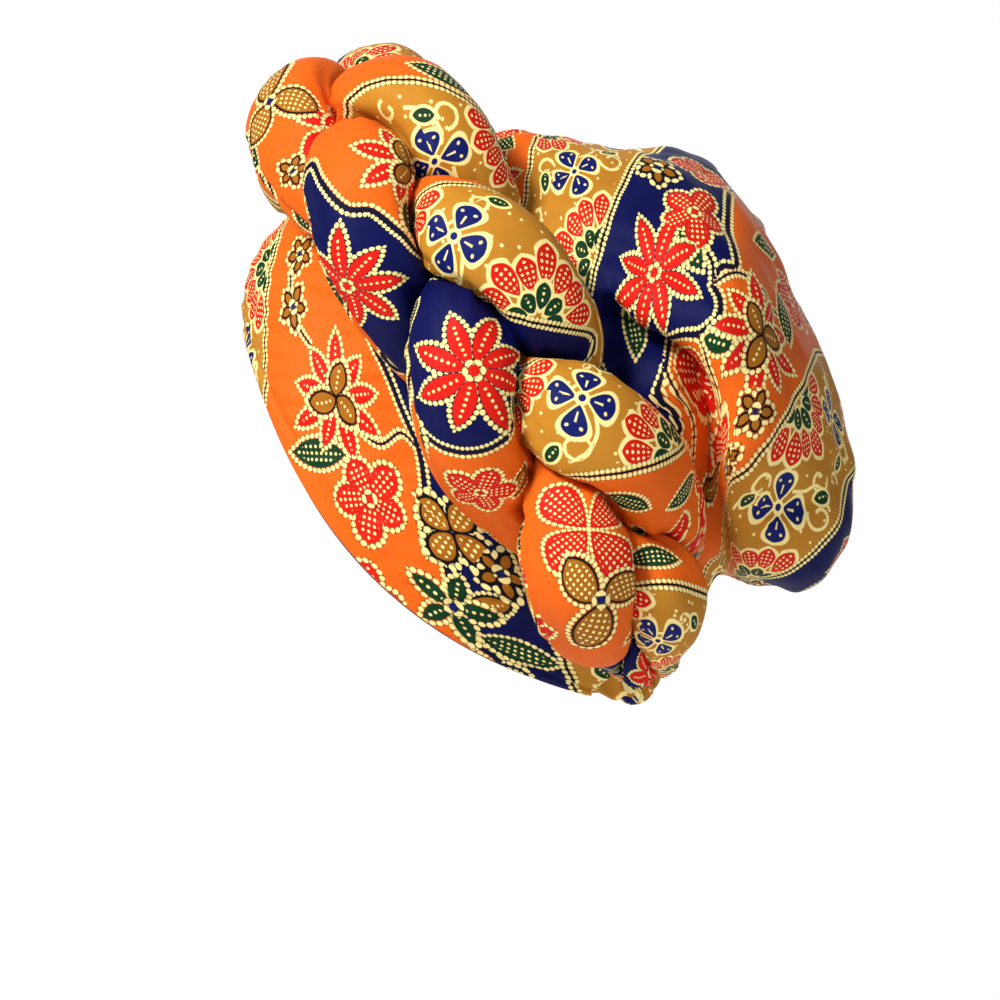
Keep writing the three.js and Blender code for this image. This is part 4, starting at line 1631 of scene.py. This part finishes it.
def make_band(materials):
    """The band, which is sewn to the bag under the braid."""
    grid = band_grid()
    form = shell(grid, BAND_WALL, False)
    cloth = lay_on_cloth(spread_flat(grid, False), grid, BAND_CUT)
    piece = dress("head_band", form, corner_cloth(cloth, form, False), materials, "band_cloth")
    return piece


def make_casing(materials):
    """The casing, on cloth of its own from the middle of the strip."""
    grid = casing_grid()
    form = shell(grid, CASING_WALL, False, normals=casing_outward(grid))
    along = np.concatenate([[0], np.cumsum(np.linalg.norm(np.diff(grid.mean(axis=1), axis=0), axis=-1))])
    around = np.concatenate([[0], np.cumsum(np.linalg.norm(np.diff(grid, axis=1), axis=-1).mean(axis=0))])
    share = around / around[-1]
    across = CASING_ACROSS + CASING_CLOTH_WIDTH * share[None, :]
    cloth = np.stack(np.broadcast_arrays(across, CASING_ALONG + along[:, None]), axis=-1)
    piece = dress("nape_casing", form, corner_cloth(cloth, form, False), materials, "casing_cloth")
    return piece


def tucked_cloth(grid):
    """How much cloth the main fold hides, for what lies in front of its lower half."""
    grid = np.concatenate([grid, grid[:, :1]], axis=1)
    samples, directions = line_samples(BAG_FOLDS[0].line)
    off = grid[..., None, 1:] - samples
    nearest = np.argmin((off**2).sum(-1), axis=-1)
    off = np.take_along_axis(off, nearest[..., None, None], axis=2)[..., 0, :]
    behind = off[..., 1] * directions[nearest, 0] - off[..., 0] * directions[nearest, 1]
    share = nearest / (len(samples) - 1)
    return TUCKED * smooth(*TUCKED_SHARES, share) * (1 - smooth(*TUCKED_END, behind))


def make_bag(materials):
    """The bag, which hangs over itself in its main fold."""
    grid = bag_grid()
    form = shell(grid, BAG_WALL, True, pole=np.array([0, BAG_POLE_Y, BAG_POLE_Z]))
    cloth = lay_on_cloth(spread_flat(grid, True), grid, BAG_CUT)
    cloth[..., 0] -= tucked_cloth(grid)
    corners = corner_cloth(cloth, form, True)
    piece = dress("slouch_bag", form, corners, materials, "bag_cloth", strip_starts=BAG_STRIP_STARTS)
    return piece


# The field as the braid shows it, repeated each 570 mm. A strand's lobes towards the band show a stretch
# round its own start below, and then every 285 mm
BRAID_REPEAT = 570
LOBE_REPEAT = 285
BRAID_STARTS = (0, 142.5, 427.5)
BRAID_STRIP_START = 93.5
BRAID_FIELD = (
    Motif("ochre_trefoil", 130, -20, 60, 1.0),
    Motif("red_petal", 110, -6, 150, 1.1),
    Motif("red_petal", 112, 10, 60, 1.0),
    Motif("small_flower", 124, 20, 20, 1.0),
    Motif("small_flower", 106, 30, 20, 1.0),
    Motif("red_petal", 142, 36, 100, 1.1),
    Motif("crowned_rosette", 112, 97, 90, 0.95),
    Motif("small_leaf", 104, 124, 100, 1.4),
    Motif("rosette", 132, 161, 15, 1.1),
    Motif("small_leaf", 152, 154, 80, 1.2),
    Motif("big_dotted_flower", 124, 268, 45, 1.0),
    Motif("ochre_trefoil", 120, 296, 90, 1.0),
    Motif("red_petal", 100, 322, 20, 1.1),
    Motif("red_petal", 150, 318, 20, 1.1),
    Motif("leaf", 148, 388, 60, 0.7),
    Motif("rosette", 116, 416, 30, 1.12),
    Motif("small_leaf", 148, 448, 80, 1.5),
    Motif("leaf", 96, 432, 70, 0.75),
    Motif("dotted_flower", 124, 474, 20, 0.9),
    Motif("ochre_leaf", 106, 478, 50, 0.9),
    Motif("leaf", 76, 282, 70, 0.9),
    Motif("leaf", 79, 316, 110, 0.9),
    Motif("dotted_flower", 84, 346, 110, 0.9),
    Motif("leaf", 172, 556, 80, 0.9),
    Motif("leaf", 148, 566, 100, 0.9),
    Motif("leaf", 176, 340, 80, 1.0),
    Motif("leaf", 176, 366, 95, 1.0),
    Motif("dotted_flower", 90, 560, 30, 1.0),
)
BRAID_VINE = (
    (63, -20), (63, 20), (63, 60), (63, 100), (66, 125), (80, 146), (98, 145), (110, 134), (122, 125),
    (133, 125), (146, 116), (156, 108), (166, 116), (170, 140), (170, 190), (164, 208), (140, 216),
    (110, 220), (84, 224), (66, 232), (60, 260), (60, 300), (60, 335), (76, 350), (110, 358), (140, 362),
    (164, 372), (168, 390), (168, 408), (160, 425), (148, 438), (136, 447), (121, 451), (106, 446),
    (94, 434), (80, 436), (66, 450), (63, 480), (63, 520), (63, 550), (63, 590),
)

# The edge between the field and the next strip, just inside it, with some length beyond the repeat
EDGE_SAMPLES = 306
EDGE_ACROSS = 184.5
EDGE_BEYOND = 20
EDGE_PLACES = np.linspace(BRAID_REPEAT + EDGE_BEYOND, -EDGE_BEYOND, EDGE_SAMPLES)
STRIP_EDGE = np.stack([np.full(EDGE_SAMPLES, EDGE_ACROSS), EDGE_PLACES], axis=-1)
BRAID_EDGES = (Line(STRIP_EDGE, 0, 0, INK, 0),)
BRAID_CLOTH = Field(BRAID_FIELD, field_lines(BRAID_VINE, ()), BRAID_EDGES, BRAID_REPEAT)


# Where the print lies on a lobe of the braid: the cloth's across and along at one phase and turn in degrees,
# and how far the cloth leans there from the strand's own direction
Laid = namedtuple("Laid", "phase turn across along lean")
OUTER_STRETCH = 1.6
SHOWN_LOBES = (
    (
        Laid(265, 114, 122.5, 0, 20),
        Laid(412, 110, 217, 129, -43),
        Laid(582, 90, 122.5, 284, 12),
    ),
    (
        Laid(255, 105, 122.5, 140.5, 27),
        Laid(398, 66, 214, 271, -54),
    ),
    (
        Laid(97, 101, 211, 342.5, -44),
        Laid(226, 86, 116, 415.5, 8),
        Laid(383, 74, 188, 560, -57),
    ),
)
FIELD_LOBE = Laid(255, 100, 122.5, 0, 20)
STRIP_LOBE = Laid(405, 90, 214, 142.5, -35)

# The rounds of lobes to each side of the first one, how far in degrees of phase a usual lobe keeps from a
# shown one, and the shares of the way between two lobes over which one gives way to the next
LOBE_ROUNDS = 4
LOBE_APART = 90
LOBE_CHANGE = (0.3, 0.7)


def laid_lobes(number):
    """All the places where the print is laid on a strand, those that the photo shows and the others."""
    shown = SHOWN_LOBES[number]
    lobes = list(shown)
    for round_trip in range(-LOBE_ROUNDS, LOBE_ROUNDS):
        for usual in (FIELD_LOBE, STRIP_LOBE):
            phase = usual.phase + 360 * round_trip
            along = usual.along + LOBE_REPEAT * round_trip + BRAID_STARTS[number]
            if all(abs(phase - lobe.phase) > LOBE_APART for lobe in shown):
                lobes.append(usual._replace(phase=phase, along=along))
    return sorted(lobes)


def strand_cloth(number, form):
    """The place on the cloth of each point of a strand.

    It shows the field on one side of the braid and the strip on the other.
    """
    steps = np.linalg.norm(np.diff(form.middle, axis=0, prepend=form.middle[:1]), axis=-1)
    length = np.cumsum(steps)
    phase = np.degrees(form.phase)
    turn = np.degrees(ring_turns(STRAND_SIDES + 1))
    lobes = laid_lobes(number)
    total = 0
    for place, lobe in enumerate(lobes):
        share = np.ones_like(phase)
        if place > 0:
            before = lobes[place - 1].phase
            share = share * smooth(*LOBE_CHANGE, (phase - before) / (lobe.phase - before))
        if place < len(lobes) - 1:
            after = lobes[place + 1].phase
            share = share * (1 - smooth(*LOBE_CHANGE, (phase - lobe.phase) / (after - lobe.phase)))
        ahead = OUTER_STRETCH * (length - np.interp(lobe.phase, phase, length))[:, None]
        round_it = STRAND_RADIUS * np.radians(turn - lobe.turn)[None, :]
        lean = math.radians(lobe.lean)
        across = lobe.across - ahead * math.sin(lean) + round_it * math.cos(lean)
        along = lobe.along + ahead * math.cos(lean) + round_it * math.sin(lean)
        total = total + share[:, None, None] * np.stack([across, along], axis=-1)
    return total


def make_strand(number, tree, materials):
    """One stuffed strand of the braid, by its number."""
    form = strand_form(number, tree)
    points = strand_points(number, form)
    tube = strand_shell(points)
    corners = corner_cloth(strand_cloth(number, form), tube, True)
    starts = {cell: BRAID_STRIP_START for cell in range(-LOBE_ROUNDS, LOBE_ROUNDS + 1)}
    name = STRAND_NAMES[number]
    piece = dress(name, tube, corners, materials, "braid_cloth", strip_starts=starts, field=BRAID_CLOTH)
    return piece


# Stage

CAMERA_DISTANCE = 5.0
VIEW_MIDDLE = (0.0252, 0.0101)
VIEW_WIDTH = 0.42
FLOOR_HEIGHT = -0.3
FLOOR_RADIUS = 1.4
FLOOR_COLOUR = (0.86, 0.86, 0.86, 1)
FLOOR_ROUGHNESS = 0.9
SURROUND_RADIUS = 9
WORLD_STRENGTH = 0.27
WHITE = (1, 1, 1)

Lamp = namedtuple("Lamp", "name place size power colour")
LAMPS = (
    Lamp("window", (1.5, -1.25, 1.6), 0.6, 82, (1, 0.97, 0.9)),
    Lamp("fill", (1.6, 1.4, -0.3), 1.4, 9, WHITE),
    Lamp("far_fill", (-2.1, 0.2, 0.4), 1.4, 9, WHITE),
)
LAMP_TARGET = (0, 0.03, 0.05)


def aim(lamp, target):
    """Turns a lamp to shine at a place."""
    lamp.rotation_euler = (Vector(target) - lamp.location).to_track_quat("-Z", "Y").to_euler()


def add_light(row):
    """A square area light, from its row in the table of lamps."""
    data = bpy.data.lights.new(row.name, "AREA")
    data.size = row.size
    data.energy = row.power
    data.color = row.colour
    lamp = bpy.data.objects.new(row.name, data)
    lamp.location = row.place
    bpy.context.scene.collection.objects.link(lamp)
    aim(lamp, LAMP_TARGET)


def make_stage():
    """The camera in the photo's place, the pale room and the lamps."""
    scene = bpy.context.scene
    camera_data = bpy.data.cameras.new("photo_camera")
    camera_data.angle = 2 * math.atan(VIEW_WIDTH / 2 / CAMERA_DISTANCE)
    camera = bpy.data.objects.new("photo_camera", camera_data)
    camera.location = (CAMERA_DISTANCE, *VIEW_MIDDLE)
    camera.rotation_euler = (math.radians(90), 0, math.radians(90))
    scene.collection.objects.link(camera)
    scene.camera = camera

    world = bpy.data.worlds.new("white_room")
    world.use_nodes = True
    background = world.node_tree.nodes["Background"]
    background.inputs["Color"].default_value = (*WHITE, 1)
    background.inputs["Strength"].default_value = WORLD_STRENGTH
    scene.world = world
    make_surround()
    make_floor()
    for row in LAMPS:
        add_light(row)
    scene.view_settings.view_transform = "Standard"


def make_floor():
    """A pale floor some way below the turban."""
    bpy.ops.mesh.primitive_circle_add(
        radius=FLOOR_RADIUS, vertices=96, fill_type="NGON", location=(0, 0, FLOOR_HEIGHT)
    )
    floor = bpy.context.object
    floor.name = "pale_floor"
    material = bpy.data.materials.new("pale_floor")
    material.use_nodes = True
    shader = material.node_tree.nodes["Principled BSDF"]
    shader.inputs["Base Color"].default_value = FLOOR_COLOUR
    shader.inputs["Roughness"].default_value = FLOOR_ROUGHNESS
    floor.data.materials.append(material)


def make_surround():
    """A white sphere that only the camera sees, so that the ground is white from every side."""
    bpy.ops.mesh.primitive_uv_sphere_add(
        radius=SURROUND_RADIUS, segments=32, ring_count=16, location=(0, 0, 0)
    )
    sphere = bpy.context.object
    sphere.name = "white_surround"
    material = bpy.data.materials.new("white_surround")
    material.use_nodes = True
    tree = material.node_tree
    tree.nodes.clear()
    glow = tree.nodes.new("ShaderNodeEmission")
    output = tree.nodes.new("ShaderNodeOutputMaterial")
    glow.inputs["Color"].default_value = (*WHITE, 1)
    glow.inputs["Strength"].default_value = 1.0
    tree.links.new(glow.outputs[0], output.inputs[0])
    sphere.data.materials.append(material)
    for light_path in ("visible_diffuse", "visible_glossy", "visible_transmission", "visible_shadow"):
        setattr(sphere, light_path, False)


# Add-on


class TurbanSettings(bpy.types.PropertyGroup):
    """What the panel offers."""

    braid: bpy.props.BoolProperty(
        name="Braid",
        description="Make the three strands of the braid",
        default=True,
    )


class TURBAN_OT_cloth(bpy.types.Operator):
    """Make the band, the nape casing and the bag"""

    bl_idname = "turban.cloth"
    bl_label = "Make the cloth"

    def execute(self, context):
        materials = [printed_cloth(), plain_cloth()]
        make_band(materials)
        make_casing(materials)
        make_bag(materials)
        return {"FINISHED"}


class TURBAN_OT_braid(bpy.types.Operator):
    """Make the three stuffed strands of the braid"""

    bl_idname = "turban.braid"
    bl_label = "Make the braid"

    def execute(self, context):
        materials = [bpy.data.materials["printed_cotton"], bpy.data.materials["cotton_reverse"]]
        tree = skin_tree()
        for number in range(3):
            make_strand(number, tree, materials)
        return {"FINISHED"}


class TURBAN_OT_stage(bpy.types.Operator):
    """Make the camera, the lights and the white room"""

    bl_idname = "turban.stage"
    bl_label = "Make the stage"

    def execute(self, context):
        make_stage()
        return {"FINISHED"}


class TURBAN_PT_panel(bpy.types.Panel):
    """The steps that make the turban"""

    bl_idname = "TURBAN_PT_panel"
    bl_label = "Turban"
    bl_space_type = "VIEW_3D"
    bl_region_type = "UI"
    bl_category = "Turban"

    def draw(self, context):
        layout = self.layout
        layout.prop(context.scene.turban_settings, "braid")
        layout.operator("turban.cloth")
        layout.operator("turban.braid")
        layout.operator("turban.stage")


CLASSES = (TurbanSettings, TURBAN_OT_cloth, TURBAN_OT_braid, TURBAN_OT_stage, TURBAN_PT_panel)


def register():
    """Adds the panel and its steps to Blender."""
    for kind in CLASSES:
        bpy.utils.register_class(kind)
    bpy.types.Scene.turban_settings = bpy.props.PointerProperty(type=TurbanSettings)


def unregister():
    """Takes the panel and its steps out of Blender."""
    del bpy.types.Scene.turban_settings
    for kind in reversed(CLASSES):
        bpy.utils.unregister_class(kind)


def main():
    """Makes every piece and the stage by the panel's own steps."""
    register()
    bpy.ops.turban.cloth()
    if bpy.context.scene.turban_settings.braid:
        bpy.ops.turban.braid()
    bpy.ops.turban.stage()


if __name__ == "__main__":
    main()
